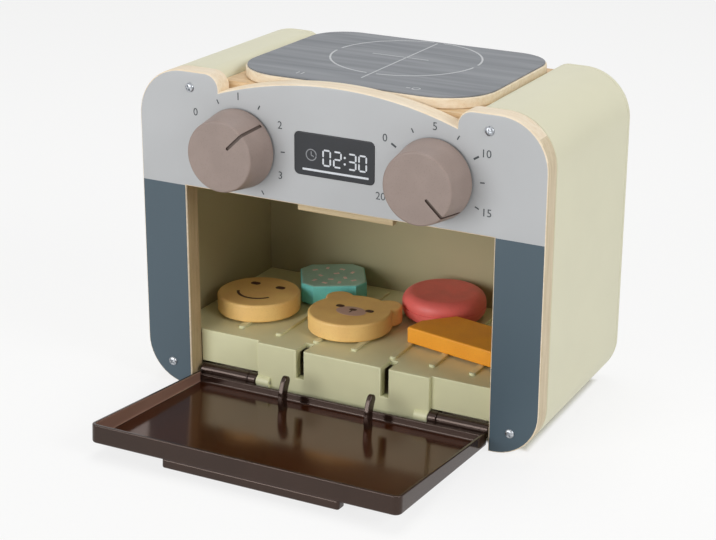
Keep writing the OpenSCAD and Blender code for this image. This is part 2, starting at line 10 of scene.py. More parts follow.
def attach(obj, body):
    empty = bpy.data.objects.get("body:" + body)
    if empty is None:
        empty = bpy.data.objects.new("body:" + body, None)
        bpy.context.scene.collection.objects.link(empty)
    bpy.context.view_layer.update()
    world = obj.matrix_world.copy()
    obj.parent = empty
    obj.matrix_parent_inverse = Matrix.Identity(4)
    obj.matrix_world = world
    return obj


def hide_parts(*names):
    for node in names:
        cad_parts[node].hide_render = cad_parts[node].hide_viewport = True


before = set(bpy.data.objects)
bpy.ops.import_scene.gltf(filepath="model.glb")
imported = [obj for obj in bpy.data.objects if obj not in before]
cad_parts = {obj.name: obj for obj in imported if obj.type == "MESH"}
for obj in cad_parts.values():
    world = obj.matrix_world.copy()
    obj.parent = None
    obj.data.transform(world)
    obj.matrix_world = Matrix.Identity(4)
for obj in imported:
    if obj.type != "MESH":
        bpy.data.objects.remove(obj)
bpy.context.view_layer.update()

bl_info = {
    "name": "Wooden Toy Oven",
    "version": (1, 0, 0),
    "blender": (4, 5, 0),
    "location": "3D View > Sidebar > Toy Oven",
    "description": "Builds the painted boards, prints, tray door, knobs and biscuits of a toy oven",
    "category": "Object",
}

# The outlines below are in millimetres, in the oven's own frame: X right, Y back, Z up.
MM = 0.001
FRONT_Y = -65.0       # front face of the front panel
SHELL_Y = -53.0       # back face of the front panel, where the side shells start
COVER_Y = 57.0        # back end of the side shells
PAINT_LINE_Z = 124.3  # where the panel's slate paint gives way to the grey
DOORWAY_X = 95.5      # half the doorway's width
EAR_X = 86.5          # middle of the round of each ear's inner shoulder
KNOB_X, KNOB_Z = 60.0, 151.5
DISPLAY_Z = 154.3
HINGE_Y, HINGE_Z = -56.0, 8.5
FINGER_X = 27.4       # the tray's two latch fingers lie this far from the middle
BISCUIT_Z = 34.0      # top of the ribs that carry the biscuits
EAR_SCREW = (91.2, 182.0)
FOOT_SCREW = (108.35, 13.5)
BACK_SCREWS = ((116.1, 59.37), (116.1, 130.22), EAR_SCREW)
BACK_SCREW_Y = 63.6   # floor of the screws' recesses in the back cover
SIDES = (-1, 1)


# --- Colours and nodes -------------------------------------------------------------------------

def linear(code):
    """Turns an sRGB hex code into Blender's linear colour."""
    channels = [int(code[i:i + 2], 16) / 255 for i in (0, 2, 4)]
    return [c / 12.92 if c <= 0.04045 else ((c + 0.055) / 1.055) ** 2.4 for c in channels] + [1.0]


def shade(colour, factor):
    """A lighter or darker version of a linear colour."""
    return [min(1.0, c * factor) for c in colour[:3]] + [1.0]


def add_node(tree, kind, inputs=None, **settings):
    """Adds a node with its settings, and gives its inputs values, sockets or other nodes' results."""
    node = tree.nodes.new(kind)
    for key, value in settings.items():
        setattr(node, key, value)
    for key, value in (inputs or {}).items():
        if isinstance(value, bpy.types.Node):
            value = next(socket for socket in value.outputs if socket.enabled)
        if isinstance(value, bpy.types.NodeSocket):
            tree.links.new(value, node.inputs[key])
        else:
            node.inputs[key].default_value = value
    return node


def start_finish(name):
    """Starts a material, and gives it with its node tree and the place on the piece, in metres."""
    material = bpy.data.materials.new(name)
    material.use_nodes = True
    tree = material.node_tree
    tree.nodes.clear()
    return material, tree, add_node(tree, "ShaderNodeTexCoord").outputs["Object"]


def end_finish(material, shader):
    """Puts the finished shader on the material's surface."""
    add_node(material.node_tree, "ShaderNodeOutputMaterial", {"Surface": shader})
    return material


def mottle(tree, place, size, detail=2.0):
    """Soft spots of the given size in millimetres: one size for all axes, or one for each."""
    spots = size if isinstance(size, (tuple, list)) else (size, size, size)
    scaled = add_node(tree, "ShaderNodeVectorMath", {0: place, 1: [1 / (s * MM) for s in spots]},
                      operation="MULTIPLY")
    return add_node(tree, "ShaderNodeTexNoise", {"Vector": scaled, "Scale": 1.0, "Detail": detail})


def laid_over(tree, pattern, under, over, start=0.35, end=0.65, amount=1.0):
    """Lays one colour over another where the pattern rises from start to end, up to the amount."""
    cover = add_node(tree, "ShaderNodeMapRange", {
        "Value": pattern, "From Min": start, "From Max": end, "To Max": amount})
    # A colour Mix has its factor in socket 0 and its two colours in 6 and 7.
    return add_node(tree, "ShaderNodeMix", {0: cover, 6: under, 7: over}, data_type="RGBA")


def background_rays(tree):
    """Is 1 where the eye sees the background: straight on, mirrored, or through the smoked tray."""
    rays = add_node(tree, "ShaderNodeLightPath").outputs
    seen = add_node(tree, "ShaderNodeMath", {0: rays["Is Camera Ray"], 1: rays["Is Glossy Ray"]},
                    operation="MAXIMUM")
    return add_node(tree, "ShaderNodeMath", {0: seen, 1: rays["Is Transmission Ray"]},
                    operation="MAXIMUM")


# --- Materials ---------------------------------------------------------------------------------

def sprayed_lacquer(name, colour, roughness=0.45):
    """Water-based lacquer sprayed on sanded board: even colour, satin gloss, faint orange peel."""
    material, tree, place = start_finish(name)
    cloud = mottle(tree, place, 38)
    # Real orange peel is about 0.5 mm; it is drawn at 1.1 mm so that it shows.
    peel = mottle(tree, place, 1.1)
    return end_finish(material, add_node(tree, "ShaderNodeBsdfPrincipled", {
        "Base Color": laid_over(tree, cloud, shade(colour, 0.985), shade(colour, 1.012)),
        "Roughness": add_node(tree, "ShaderNodeMapRange", {
            "Value": peel, "To Min": roughness - 0.06, "To Max": roughness + 0.07}),
        "Normal": add_node(tree, "ShaderNodeBump", {
            "Height": peel, "Distance": 0.03 * MM, "Strength": 0.5}),
        "IOR": 1.5}))


def sanded_beech(name, light, dark, grain_axis):
    """Sanded beech under thin clear lacquer: pale, long grain and short darker flecks, satin."""
    material, tree, place = start_finish(name)
    grain = mottle(tree, place, [30.8 if axis == grain_axis else 2.2 for axis in "XYZ"], 4)
    # Beech flecks are 0.2 mm wide and 2 mm long; they are drawn twice as large so that they show.
    flecks = mottle(tree, place, [3.6 if axis == grain_axis else 0.45 for axis in "XYZ"], 1)
    wood = laid_over(tree, grain, dark, light, 0.3, 0.68)
    return end_finish(material, add_node(tree, "ShaderNodeBsdfPrincipled", {
        "Base Color": laid_over(tree, flecks, wood, shade(dark, 0.7), 0.62, 0.74, 0.35),
        "Roughness": add_node(tree, "ShaderNodeMapRange", {
            "Value": grain, "To Min": 0.43, "To Max": 0.6}),
        "Normal": add_node(tree, "ShaderNodeBump", {
            "Height": grain, "Distance": 0.04 * MM, "Strength": 0.35}),
        "IOR": 1.52}))


def printed_melamine(name, colour, band):
    """Melamine sheet printed with a brushed pattern: smooth grey, fine streaks from side to side."""
    material, tree, place = start_finish(name)
    # The printed streaks are 0.1 mm apart; they are drawn at 0.9 mm so that they show.
    streaks = mottle(tree, place, (54, 0.9, 0.9), 3)
    bands = mottle(tree, place, (108, 9, 9))
    grey = laid_over(tree, streaks, shade(colour, 0.9), shade(colour, 1.1), 0.3, 0.7)
    return end_finish(material, add_node(tree, "ShaderNodeBsdfPrincipled", {
        "Base Color": laid_over(tree, bands, grey, band, amount=0.4),
        "Roughness": add_node(tree, "ShaderNodeMapRange", {
            "Value": streaks, "To Min": 0.52, "To Max": 0.64}),
        "IOR": 1.45}))


def moulded_plastic(name, colour, roughness=0.38):
    """Injection-moulded ABS or nylon: one clean colour, soft gloss, fine spark-eroded grain."""
    material, tree, place = start_finish(name)
    cloud = mottle(tree, place, 25)
    # Spark-eroded grain is about 0.15 mm; it is drawn at 0.7 mm so that it shows.
    grain = mottle(tree, place, 0.7, 1)
    return end_finish(material, add_node(tree, "ShaderNodeBsdfPrincipled", {
        "Base Color": laid_over(tree, cloud, shade(colour, 0.97), shade(colour, 1.03)),
        "Roughness": add_node(tree, "ShaderNodeMapRange", {
            "Value": grain, "To Min": roughness - 0.05, "To Max": roughness + 0.06}),
        "Normal": add_node(tree, "ShaderNodeBump", {
            "Height": grain, "Distance": 0.02 * MM, "Strength": 0.3}),
        "IOR": 1.54}))


def smoked_styrene(name, colour, clear, tint):
    """Moulded clear polystyrene tinted brown: dark, softly mirroring, lets a little light through."""
    material, tree, place = start_finish(name)
    flow = mottle(tree, place, (30, 120, 30))
    # Handling leaves hair scratches 0.05 mm wide; they are drawn at 0.5 mm so that they show.
    scratches = mottle(tree, place, (15, 0.5, 0.5))
    return end_finish(material, add_node(tree, "ShaderNodeBsdfPrincipled", {
        "Base Color": laid_over(tree, flow, shade(colour, 0.88), shade(colour, 1.14)),
        "Roughness": add_node(tree, "ShaderNodeMapRange", {
            "Value": scratches, "From Min": 0.5, "From Max": 0.8, "To Min": 0.12, "To Max": 0.2}),
        "IOR": 1.5, "Transmission Weight": clear, "Specular Tint": tint}))


def zinc_plated_steel(name, dark, light):
    """Zinc-plated steel: bright bluish-grey metal with soft cloudy gloss."""
    material, tree, place = start_finish(name)
    cloud = mottle(tree, place, 1.4)
    return end_finish(material, add_node(tree, "ShaderNodeBsdfPrincipled", {
        "Base Color": laid_over(tree, cloud, dark, light),
        "Roughness": add_node(tree, "ShaderNodeMapRange", {
            "Value": cloud, "To Min": 0.22, "To Max": 0.4}),
        "Metallic": 1.0}))


def screen_ink(name, colour, roughness=0.5):
    """Screen-printing ink: flat opaque colour, slightly uneven cover from the mesh."""
    material, tree, place = start_finish(name)
    # The screen's mesh is 0.1 mm; its unevenness is drawn at 0.5 mm so that it shows.
    cover = mottle(tree, place, 0.5, 1)
    return end_finish(material, add_node(tree, "ShaderNodeBsdfPrincipled", {
        "Base Color": laid_over(tree, cover, shade(colour, 0.9), shade(colour, 1.08)),
        "Roughness": add_node(tree, "ShaderNodeMapRange", {
            "Value": cover, "To Min": roughness - 0.06, "To Max": roughness + 0.06}),
        "IOR": 1.5}))


def tinted_acrylic(name, colour):
    """Back-painted acrylic: deep dark blue-grey under a glossy clear face."""
    material, tree, place = start_finish(name)
    cloud = mottle(tree, place, 12)
    return end_finish(material, add_node(tree, "ShaderNodeBsdfPrincipled", {
        "Base Color": laid_over(tree, cloud, shade(colour, 0.9), shade(colour, 1.12)),
        "Roughness": add_node(tree, "ShaderNodeMapRange", {
            "Value": cloud, "To Min": 0.34, "To Max": 0.42}),
        "IOR": 1.49}))


def dipped_wood_paint(name, side, top=None):
    """Solid maple dipped in toy paint: saturated, satin, the end grain just showing as fine pores."""
    material, tree, place = start_finish(name)
    cloud = mottle(tree, place, 14, 3)
    # Maple pores are 0.1 mm; they are drawn at 0.6 mm so that they show.
    pores = mottle(tree, place, 0.6, 1)
    paint = laid_over(tree, cloud, shade(side, 0.95), shade(side, 1.05))
    if top is not None:
        # The faces that look up get a tone of their own, painted shade for how the tops look under the
        # lamps; it is not a different paint.
        facing = add_node(tree, "ShaderNodeNewGeometry").outputs["Normal"]
        up = add_node(tree, "ShaderNodeSeparateXYZ", {0: facing}).outputs["Z"]
        shaded_top = laid_over(tree, cloud, shade(top, 0.93), shade(top, 1.07))
        paint = laid_over(tree, up, paint, shaded_top, 0.6, 0.9)
    return end_finish(material, add_node(tree, "ShaderNodeBsdfPrincipled", {
        "Base Color": laid_over(tree, pores, paint, shade(side, 0.55), 0.6, 0.72, 0.28),
        "Roughness": add_node(tree, "ShaderNodeMapRange", {
            "Value": cloud, "To Min": 0.4, "To Max": 0.54}),
        "Normal": add_node(tree, "ShaderNodeBump", {
            "Height": pores, "Distance": 0.03 * MM, "Strength": 0.3}),
        "IOR": 1.5}))


def pressed_felt(name, colour):
    """Pressed wool felt: matt, fuzzy, short crossing fibres."""
    material, tree, place = start_finish(name)
    # Wool fibres are 0.02 mm thick; they are drawn at 0.5 mm so that they show.
    fibres = mottle(tree, place, (1.5, 0.5, 1.5), 4)
    return end_finish(material, add_node(tree, "ShaderNodeBsdfPrincipled", {
        "Base Color": laid_over(tree, fibres, shade(colour, 0.7), shade(colour, 1.3)),
        "Normal": add_node(tree, "ShaderNodeBump", {
            "Height": fibres, "Distance": 0.2 * MM, "Strength": 0.8}),
        "Roughness": 0.95, "Sheen Weight": 0.4}))


def studio_paper(name, colour, glow):
    """Seamless paper sweep: matt and pale. It looks white to the eye and still takes a shadow."""
    material, tree, place = start_finish(name)
    fibres = mottle(tree, place, 3)
    paper = add_node(tree, "ShaderNodeBsdfPrincipled", {
        "Base Color": laid_over(tree, fibres, shade(colour, 0.985), shade(colour, 1.0)),
        "Roughness": 0.9})
    white = add_node(tree, "ShaderNodeEmission", {"Color": (1, 1, 1, 1), "Strength": 1.0})
    # Under the oven, 224 by 104 mm of it, the paper stays as dark as it really is.
    at = add_node(tree, "ShaderNodeSeparateXYZ", {0: place}).outputs
    outside = []
    for axis, half in (("X", 112), ("Y", 52)):
        distance = add_node(tree, "ShaderNodeMath", {0: at[axis]}, operation="ABSOLUTE")
        outside.append(add_node(tree, "ShaderNodeMapRange", {
            "Value": distance, "From Min": half * MM, "From Max": (half + 4) * MM}))
    clear = add_node(tree, "ShaderNodeMath", dict(enumerate(outside)), operation="MAXIMUM")
    part = add_node(tree, "ShaderNodeMath", {0: background_rays(tree), 1: glow}, operation="MULTIPLY")
    part = add_node(tree, "ShaderNodeMath", {0: part, 1: clear}, operation="MULTIPLY")
    return end_finish(material, add_node(tree, "ShaderNodeMixShader", {0: part, 1: paper, 2: white}))


# --- Outlines in millimetres -------------------------------------------------------------------

def arc(cx, cy, radius, start, end, steps=10):
    """Points along an arc, in degrees, both ends included."""
    angles = [math.radians(start + (end - start) * i / steps) for i in range(steps + 1)]
    return [(cx + radius * math.cos(a), cy + radius * math.sin(a)) for a in angles]


def disc(cx, cy, radius, steps=32):
    """A closed round outline."""
    return arc(cx, cy, radius, 0, 360 * (steps - 1) / steps, steps - 1)


def rounded_box(cx, cy, width, height, radius, steps=5):
    """A closed rectangle outline with rounded corners."""
    w, h = width / 2 - radius, height / 2 - radius
    corners = ((cx + w, cy + h), (cx - w, cy + h), (cx - w, cy - h), (cx + w, cy - h))
    return [point for quarter, (x, y) in enumerate(corners)
            for point in arc(x, y, radius, 90 * quarter, 90 * quarter + 90, steps)]


def stroke(path, width):
    """The outline of a line of ink drawn along a path."""
    points = [Vector(p) for p in path]
    left, right = [], []
    for i, point in enumerate(points):
        run = (points[min(i + 1, len(points) - 1)] - points[max(i - 1, 0)]).normalized()
        side = Vector((-run.y, run.x)) * (width / 2)
        left.append(tuple(point + side))
        right.append(tuple(point - side))
    return left + right[::-1]


def mirrored(outline):
    """Adds the left half to the right half of an outline that starts and ends near the middle."""
    return outline + [(-x, y) for x, y in reversed(outline)]


def quarter_turn(steps):
    """Angles from 0 to 90 degrees, in radians, both ends included."""
    return [math.radians(90 * i / steps) for i in range(steps + 1)]


def body_side(ear_x, steps, inset=0.0):
    """The body's right side seen from the front, from its foot up and over to the ear's inner end."""
    foot_steps, top_steps = steps
    return (arc(98, 27, 27 - inset, -90, 0, foot_steps)
            + arc(96.5, 163, 28.5 - inset, 0, 90, top_steps)
            + arc(ear_x, 182.5, 9 - inset, 90, 180, 8))


# --- Meshes ------------------------------------------------------------------------------------

# Turns a point of an outline (a, b) at height h into metres, for a board cut across each axis.
PLACE = {
    "X": lambda a, b, h: (h * MM, a * MM, b * MM),
    "Y": lambda a, b, h: (a * MM, h * MM, b * MM),
    "Z": lambda a, b, h: (a * MM, b * MM, h * MM),
}


def drawn_in(loop, distance):
    """An outline with every side moved towards the material on its left."""
    shifted = []
    for i, point in enumerate(loop):
        before = (point - loop[i - 1]).normalized()
        after = (loop[(i + 1) % len(loop)] - point).normalized()
        first, second = Vector((-before.y, before.x)), Vector((-after.y, after.x))
        # Sharp corners would run off to infinity, so the shift there is held back.
        shifted.append(point + (first + second) * (distance / max(1 + first.dot(second), 0.3)))
    return shifted


def cut_board(outlines, axis, low, high, edge=0.0, steps=3):
    """Cuts a board from closed outlines, the outer one first, and rounds its rims by edge."""
    loops = []
    for number, outline in enumerate(outlines):
        area = sum(a[0] * b[1] - b[0] * a[1] for a, b in zip(outline, outline[1:] + outline[:1]))
        # The outer outline runs anticlockwise, and the holes clockwise.
        wrong_way = (area < 0) == (number == 0)
        loops.append([Vector(p) for p in (outline[::-1] if wrong_way else outline)])
    levels = [(0.0, low), (0.0, high)]
    if edge:
        near = [(edge * (1 - math.sin(t)), edge * (1 - math.cos(t))) for t in quarter_turn(steps)]
        levels = [(d, low + h) for d, h in near] + [(d, high - h) for d, h in reversed(near)]
    bm = bmesh.new()
    rings = [[[bm.verts.new(PLACE[axis](p.x, p.y, h)) for p in drawn_in(loop, d)] for loop in loops]
             for d, h in levels]
    for lower, upper in zip(rings, rings[1:]):
        for a, b in zip(lower, upper):
            for i in range(len(a)):
                bm.faces.new((a[i - 1], a[i], b[i], b[i - 1]))
    flat = [[p.to_3d() for p in drawn_in(loop, levels[0][0])] for loop in loops]
    triangles = tessellate_polygon(flat)
    for ring in (rings[0], rings[-1]):
        corners = [v for loop in ring for v in loop]
        for triangle in triangles:
            bm.faces.new([corners[i] for i in triangle])
    bmesh.ops.recalc_face_normals(bm, faces=bm.faces)
    return to_mesh(bm)


def to_mesh(bm):
    """Turns an edited mesh into a plain one."""
    mesh = bpy.data.meshes.new("toy_oven_mesh")
    bm.to_mesh(mesh)
    bm.free()
    return mesh


def turned(profile, sides=96):
    """Turns a half profile of (radius, height) points round the Z axis."""
    bm = bmesh.new()
    rings = []
    for radius, height in profile:
        points = disc(0, 0, radius, sides) if radius else [(0, 0)]
        rings.append([bm.verts.new((x * MM, y * MM, height * MM)) for x, y in points])
    for low, high in zip(rings, rings[1:]):
        for i in range(sides):
            below = [low[i - 1], low[i]] if len(low) > 1 else low
            above = [high[i], high[i - 1]] if len(high) > 1 else high
            bm.faces.new(below + above)
    bmesh.ops.recalc_face_normals(bm, faces=bm.faces)
    return to_mesh(bm)


def lofted(loops):
    """Skins a row of closed loops of (x, y, z) points and closes both ends."""
    bm = bmesh.new()
    rings = [[bm.verts.new([c * MM for c in p]) for p in loop] for loop in loops]
    for low, high in zip(rings, rings[1:]):
        for i in range(len(low)):
            bm.faces.new((low[i - 1], low[i], high[i], high[i - 1]))
    for ring in (rings[0], rings[-1]):
        bm.faces.new(ring)
    bmesh.ops.recalc_face_normals(bm, faces=bm.faces)
    return to_mesh(bm)


def merged(*meshes):
    """Joins closed solids that touch into one solid."""
    whole = meshes[0]
    for mesh in meshes[1:]:
        whole = carved(whole, mesh, "UNION")
    return whole


def joined(meshes):
    """Puts several meshes into one, without cutting them."""
    bm = bmesh.new()
    for mesh in meshes:
        bm.from_mesh(mesh)
        bpy.data.meshes.remove(mesh)
    return to_mesh(bm)


def turn(degrees, axis):
    """A rotation round an axis."""
    return Matrix.Rotation(math.radians(degrees), 4, axis)


def moved(mesh, matrix):
    """Moves a mesh; the matrix's shift is in millimetres."""
    matrix = matrix.copy()
    matrix.translation *= MM
    mesh.transform(matrix)
    return mesh


def carved(mesh, tool, operation="DIFFERENCE"):
    """Cuts one mesh out of another, or joins the two."""
    body, cutter = (bpy.data.objects.new("carving", m) for m in (mesh, tool))
    for helper in (body, cutter):
        bpy.context.scene.collection.objects.link(helper)
    change = body.modifiers.new("cut", "BOOLEAN")
    change.object, change.operation, change.solver = cutter, operation, "EXACT"
    depsgraph = bpy.context.evaluated_depsgraph_get()
    result = bpy.data.meshes.new_from_object(body.evaluated_get(depsgraph))
    for helper in (body, cutter):
        bpy.data.objects.remove(helper)
    for old in (mesh, tool):
        bpy.data.meshes.remove(old)
    return result


def make_piece(name, mesh, body, finishes, stands_for=(), sharp=32):
    """Adds a finished piece that moves with a body and wears the given finishes."""
    piece = bpy.data.objects.new(name, mesh)
    mesh.name = name
    bpy.context.scene.collection.objects.link(piece)
    for finish in finishes:
        mesh.materials.append(finish)
    mesh.shade_smooth()
    mesh.set_sharp_from_angle(angle=math.radians(sharp))
    piece.modifiers.new("Even shading", "WEIGHTED_NORMAL").keep_sharp = True
    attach(piece, body)
    if stands_for:
        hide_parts(*stands_for)
    return piece


def paint_faces(mesh, choose):
    """Gives each face the finish that choose names from its centre and normal, in millimetres."""
    for face in mesh.polygons:
        face.material_index = choose(face.center / MM, face.normal)


def finish_node(node, finish, edge=0.0, angle=30):
    """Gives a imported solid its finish, and rounds its sharp edges with modifiers alone."""
    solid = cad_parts[node]
    for holder in solid.material_slots:
        holder.material = finish
    if edge:
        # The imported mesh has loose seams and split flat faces, which would stop the bevel.
        solid.modifiers.new("Close seams", "WELD").merge_threshold = 0.00001
        flat = solid.modifiers.new("Clear flat faces", "DECIMATE")
        flat.decimate_type, flat.angle_limit = "DISSOLVE", math.radians(0.5)
        rim = solid.modifiers.new("Rounded edges", "BEVEL")
        rim.width, rim.segments, rim.limit_method = edge * MM, 2, "ANGLE"
        rim.angle_limit, rim.use_clamp_overlap = math.radians(angle), True
        solid.modifiers.new("Even shading", "WEIGHTED_NORMAL").keep_sharp = True


# --- Sizes and colours that a user would change ------------------------------------------------

def length(name, description, millimetres):
    """A size that is typed in millimetres and kept in metres."""
    return bpy.props.FloatProperty(name=name, description=description, default=millimetres * MM,
                                   min=0.0, precision=5, unit="LENGTH")


def colour(name, description, code):
    """A colour that is typed as sRGB hex and kept as linear."""
    return bpy.props.FloatVectorProperty(name=name, description=description, default=linear(code),
                                         size=4, min=0.0, max=1.0, subtype="COLOR")


def amount(name, description, default, **limits):
    """A number that can't be negative."""
    return bpy.props.FloatProperty(name=name, description=description, default=default,
                                   min=0.0, **limits)


def in_mm(value):
    """A size in millimetres from one in metres."""
    return value / MM


class OvenSizes(bpy.types.PropertyGroup):
    """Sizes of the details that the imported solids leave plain."""
    board_edge: length("Board edge", "Radius of the front panel's rounded edges", 1.2)
    shell_edge: length("Shell edge", "Radius of the side shells' edges", 0.6)
    cooktop_edge: length("Cooktop edge", "Radius of the cooktop board's edges", 0.7)
    knob_edge: length("Knob edge", "Radius of the knobs' front edges", 1.2)
    biscuit_edge: length("Biscuit edge", "Radius of the biscuits' edges", 1.4)
    moulding_edge: length("Moulding edge", "Radius of the base moulding's edges", 0.5)
    door_edge: length("Door edge", "Radius of the tray door's edges", 0.6)
    ink_line: length("Ink line", "Width of the ring printed on the cooktop", 1.1)
    tick_length: length("Tick length", "Length of the ticks round the knobs", 2.6)
    digit_height: length("Digit height", "Height of the clock's digits", 8.6)


class OvenColours(bpy.types.PropertyGroup):
    """Colours of the finishes."""
    panel: colour("Panel grey", "Upper part of the front panel", "B8BABC")
    slate: colour("Slate", "The two pillars of the front panel", "435560")
    shell: colour("Shell cream", "Side shells and back cover", "DCD9BE")
    # The lining colour is painted shade: the oven's inside is the same cream paint, drawn darker and
    # olive for the shade in the cavity.
    lining_shade: colour("Lining olive", "The painted inside of the oven", "B0A985")
    wood_light: colour("Light wood", "Light grain of the bare boards", "F1E3CC")
    wood_dark: colour("Dark wood", "Dark grain of the bare boards", "E6D2B4")
    # The doorway's edge is the same beech as the other edges, drawn darker as painted shade inside the
    # doorway.
    doorway_shade_light: colour("Doorway light", "Light grain of the doorway's shaded edge", "C2AC88")
    doorway_shade_dark: colour("Doorway dark", "Dark grain of the doorway's shaded edge", "AC9670")
    # The panel's outer side edge is the same beech too, drawn darker as painted shade.
    side_shade_light: colour("Side edge light", "Light grain of the front panel's outer edge", "D8C8AC")
    side_shade_dark: colour("Side edge dark", "Dark grain of the front panel's outer edge", "C6B391")
    deck_light: colour("Deck light", "Light grain of the deck under the cooktop", "E2C8A2")
    deck_dark: colour("Deck dark", "Dark grain of the deck under the cooktop", "CDAA7C")
    # The door stop's beech is drawn darker as painted shade.
    stop_shade_light: colour("Door stop light", "Light grain of the door stop", "D2BE98")
    stop_shade_dark: colour("Door stop dark", "Dark grain of the door stop", "BCA67E")
    cooktop: colour("Cooktop grey", "The printed cooktop sheet", "6F7378")
    cooktop_band: colour("Cooktop band", "Paler bands of the cooktop's brushed print", "A4A6AA")
    cooktop_line: colour("Cooktop line", "Ring and lines on the cooktop", "BFC1C4")
    moulding: colour("Pale green", "The base moulding", "E0DFB6")
    smoke: colour("Smoked brown", "The tray door", "32231D")
    # The lighter and deeper smoked browns are painted light and painted shade on the one smoked
    # plastic: light shining through the side walls, and shade from the dark paper under the tray's
    # floor.
    smoke_backlit: colour("Thin smoked brown", "The tray's thin side walls", "B08878")
    smoke_shadowed: colour("Deep smoked brown", "The tray's floor", "3E1D0D")
    smoke_sheen: colour("Smoked sheen", "Tint of the tray's reflections", "FFE7DB")
    smoke_floor_sheen: colour("Floor sheen", "Tint of the reflections on the tray's floor", "FFB080")
    knob: colour("Knob taupe", "The two knobs", "93827A")
    # The groove colour is painted shade: the groove has the knob's own taupe paint, drawn darker for
    # the shade inside it.
    groove_shade: colour("Groove brown", "The knobs' pointer grooves", "54443C")
    marks: colour("Mark grey", "Ticks and numbers round the knobs", "3E4347")
    screen: colour("Screen", "The clock window", "10141B")
    digits: colour("Digits", "The clock's digits and bar", "D8DCE2")
    tan: colour("Tan", "The smiling and the bear biscuit", "FFD084")
    teal: colour("Teal", "The square biscuit", "78D8D3")
    # The teal top is painted shade: the same teal paint, drawn greyer as the top looks in the oven.
    teal_top_shade: colour("Teal top", "The paler top of the square biscuit", "A6CDBF")
    red: colour("Red", "The sandwich biscuit", "F4746E")
    orange: colour("Orange", "The orange slice", "FFA92B")
    face_ink: colour("Face ink", "Eyes and mouths on the biscuits", "4A2A1C")
    muzzle: colour("Muzzle", "The bear biscuit's muzzle", "D2B0A4")
    sprinkles: colour("Sprinkles", "The printed sprinkles on the square biscuit", "F6DCD4")
    zinc_light: colour("Light zinc", "Bright patches of the plated screws", "C4C7CB")
    zinc_dark: colour("Dark zinc", "Dull patches of the plated screws", "8E9297")
    nylon: colour("White nylon", "The knobs' bushes", "EDEBE4")
    felt: colour("Grey felt", "The knobs' friction rings", "5A5F66")


class StageSettings(bpy.types.PropertyGroup):
    """Paper floor, lamps and the sky's fill light."""
    paper: colour("Paper", "Colour of the paper floor", "F4F4F2")
    glow: amount("Paper white", "How much of the paper looks plain white", 0.8,
                 max=1.0, subtype="FACTOR")
    fill: amount("Fill light", "Brightness of the even light from all round", 0.22)
    front_lamp: amount("Front lamp", "Power of the lamp at the front left", 23.0, unit="POWER")
    side_lamp: amount("Side lamp", "Power of the lamp at the right", 13.0, unit="POWER")
    top_lamp: amount("Top lamp", "Power of the lamp overhead", 9.0, unit="POWER")


# --- The pieces --------------------------------------------------------------------------------

class OVEN_OT_front_panel(bpy.types.Operator):
    """Build the front panel with its ears, arch and doorway, grey above and slate below"""
    bl_idname = "toy_oven.front_panel"
    bl_label = "Front Panel"
    bl_options = {"REGISTER", "UNDO"}

    def execute(self, context):
        sizes, colours = context.scene.oven_sizes, context.scene.oven_colours
        arch_half, arch_radius, arch_z = 72.5, 225.01, -31.51
        rise = math.degrees(math.asin(arch_half / arch_radius))
        half = [(DOORWAY_X, 124), (DOORWAY_X, 0)] + body_side(EAR_X - 5, (12, 14))
        half += arc(0, arch_z, arch_radius, 90 - rise, 90, 16)[:-1]
        outline = half + [(0, arch_z + arch_radius)] + [(-x, z) for x, z in reversed(half)]
        holes = [disc(side * KNOB_X, KNOB_Z, 5) for side in SIDES]
        board = cut_board([outline] + holes, "Y", FRONT_Y, SHELL_Y, in_mm(sizes.board_edge), 4)
        pocket = rounded_box(0, DISPLAY_Z, 49.5, 24.5, 3)
        board = carved(board, cut_board([pocket], "Y", FRONT_Y - 1, FRONT_Y + 2))
        bm = bmesh.new()
        bm.from_mesh(board)
        bmesh.ops.bisect_plane(bm, geom=bm.verts[:] + bm.edges[:] + bm.faces[:],
                               plane_co=(0, 0, PAINT_LINE_Z * MM), plane_no=(0, 0, 1))
        bm.to_mesh(board)
        bm.free()

        grey, slate, top_edge, doorway, side_edge = range(5)

        def cover(at, normal):
            """The finish of a face: paint in front, plain beech on the top edges, and beech drawn
            darker as painted shade on the doorway's inner edges and the outer side edges.
            """
            if normal.y < -0.9:
                return grey if at.z > PAINT_LINE_Z else slate
            # The doorway's inner edges get beech drawn darker as painted shade.
            if abs(at.x) < DOORWAY_X + 0.2 and at.z < PAINT_LINE_Z - 0.1:
                return doorway
            # The outer side edges get beech drawn darker as painted shade; the other edges get plain
            # beech.
            return side_edge if abs(normal.x) > 0.8 and abs(at.x) > 110 else top_edge
        paint_faces(board, cover)
        make_piece("grey_and_slate_panel", board, "oven_body", [
            sprayed_lacquer("grey_lacquer", colours.panel),
            sprayed_lacquer("slate_lacquer", colours.slate),
            sanded_beech("beech_edge", colours.wood_light, colours.wood_dark, "X"),
            sanded_beech("doorway_beech_painted_shade", colours.doorway_shade_light, colours.doorway_shade_dark, "Z"),
            sanded_beech("side_beech_painted_shade", colours.side_shade_light, colours.side_shade_dark, "Z")], ["front_panel"])
        return {"FINISHED"}


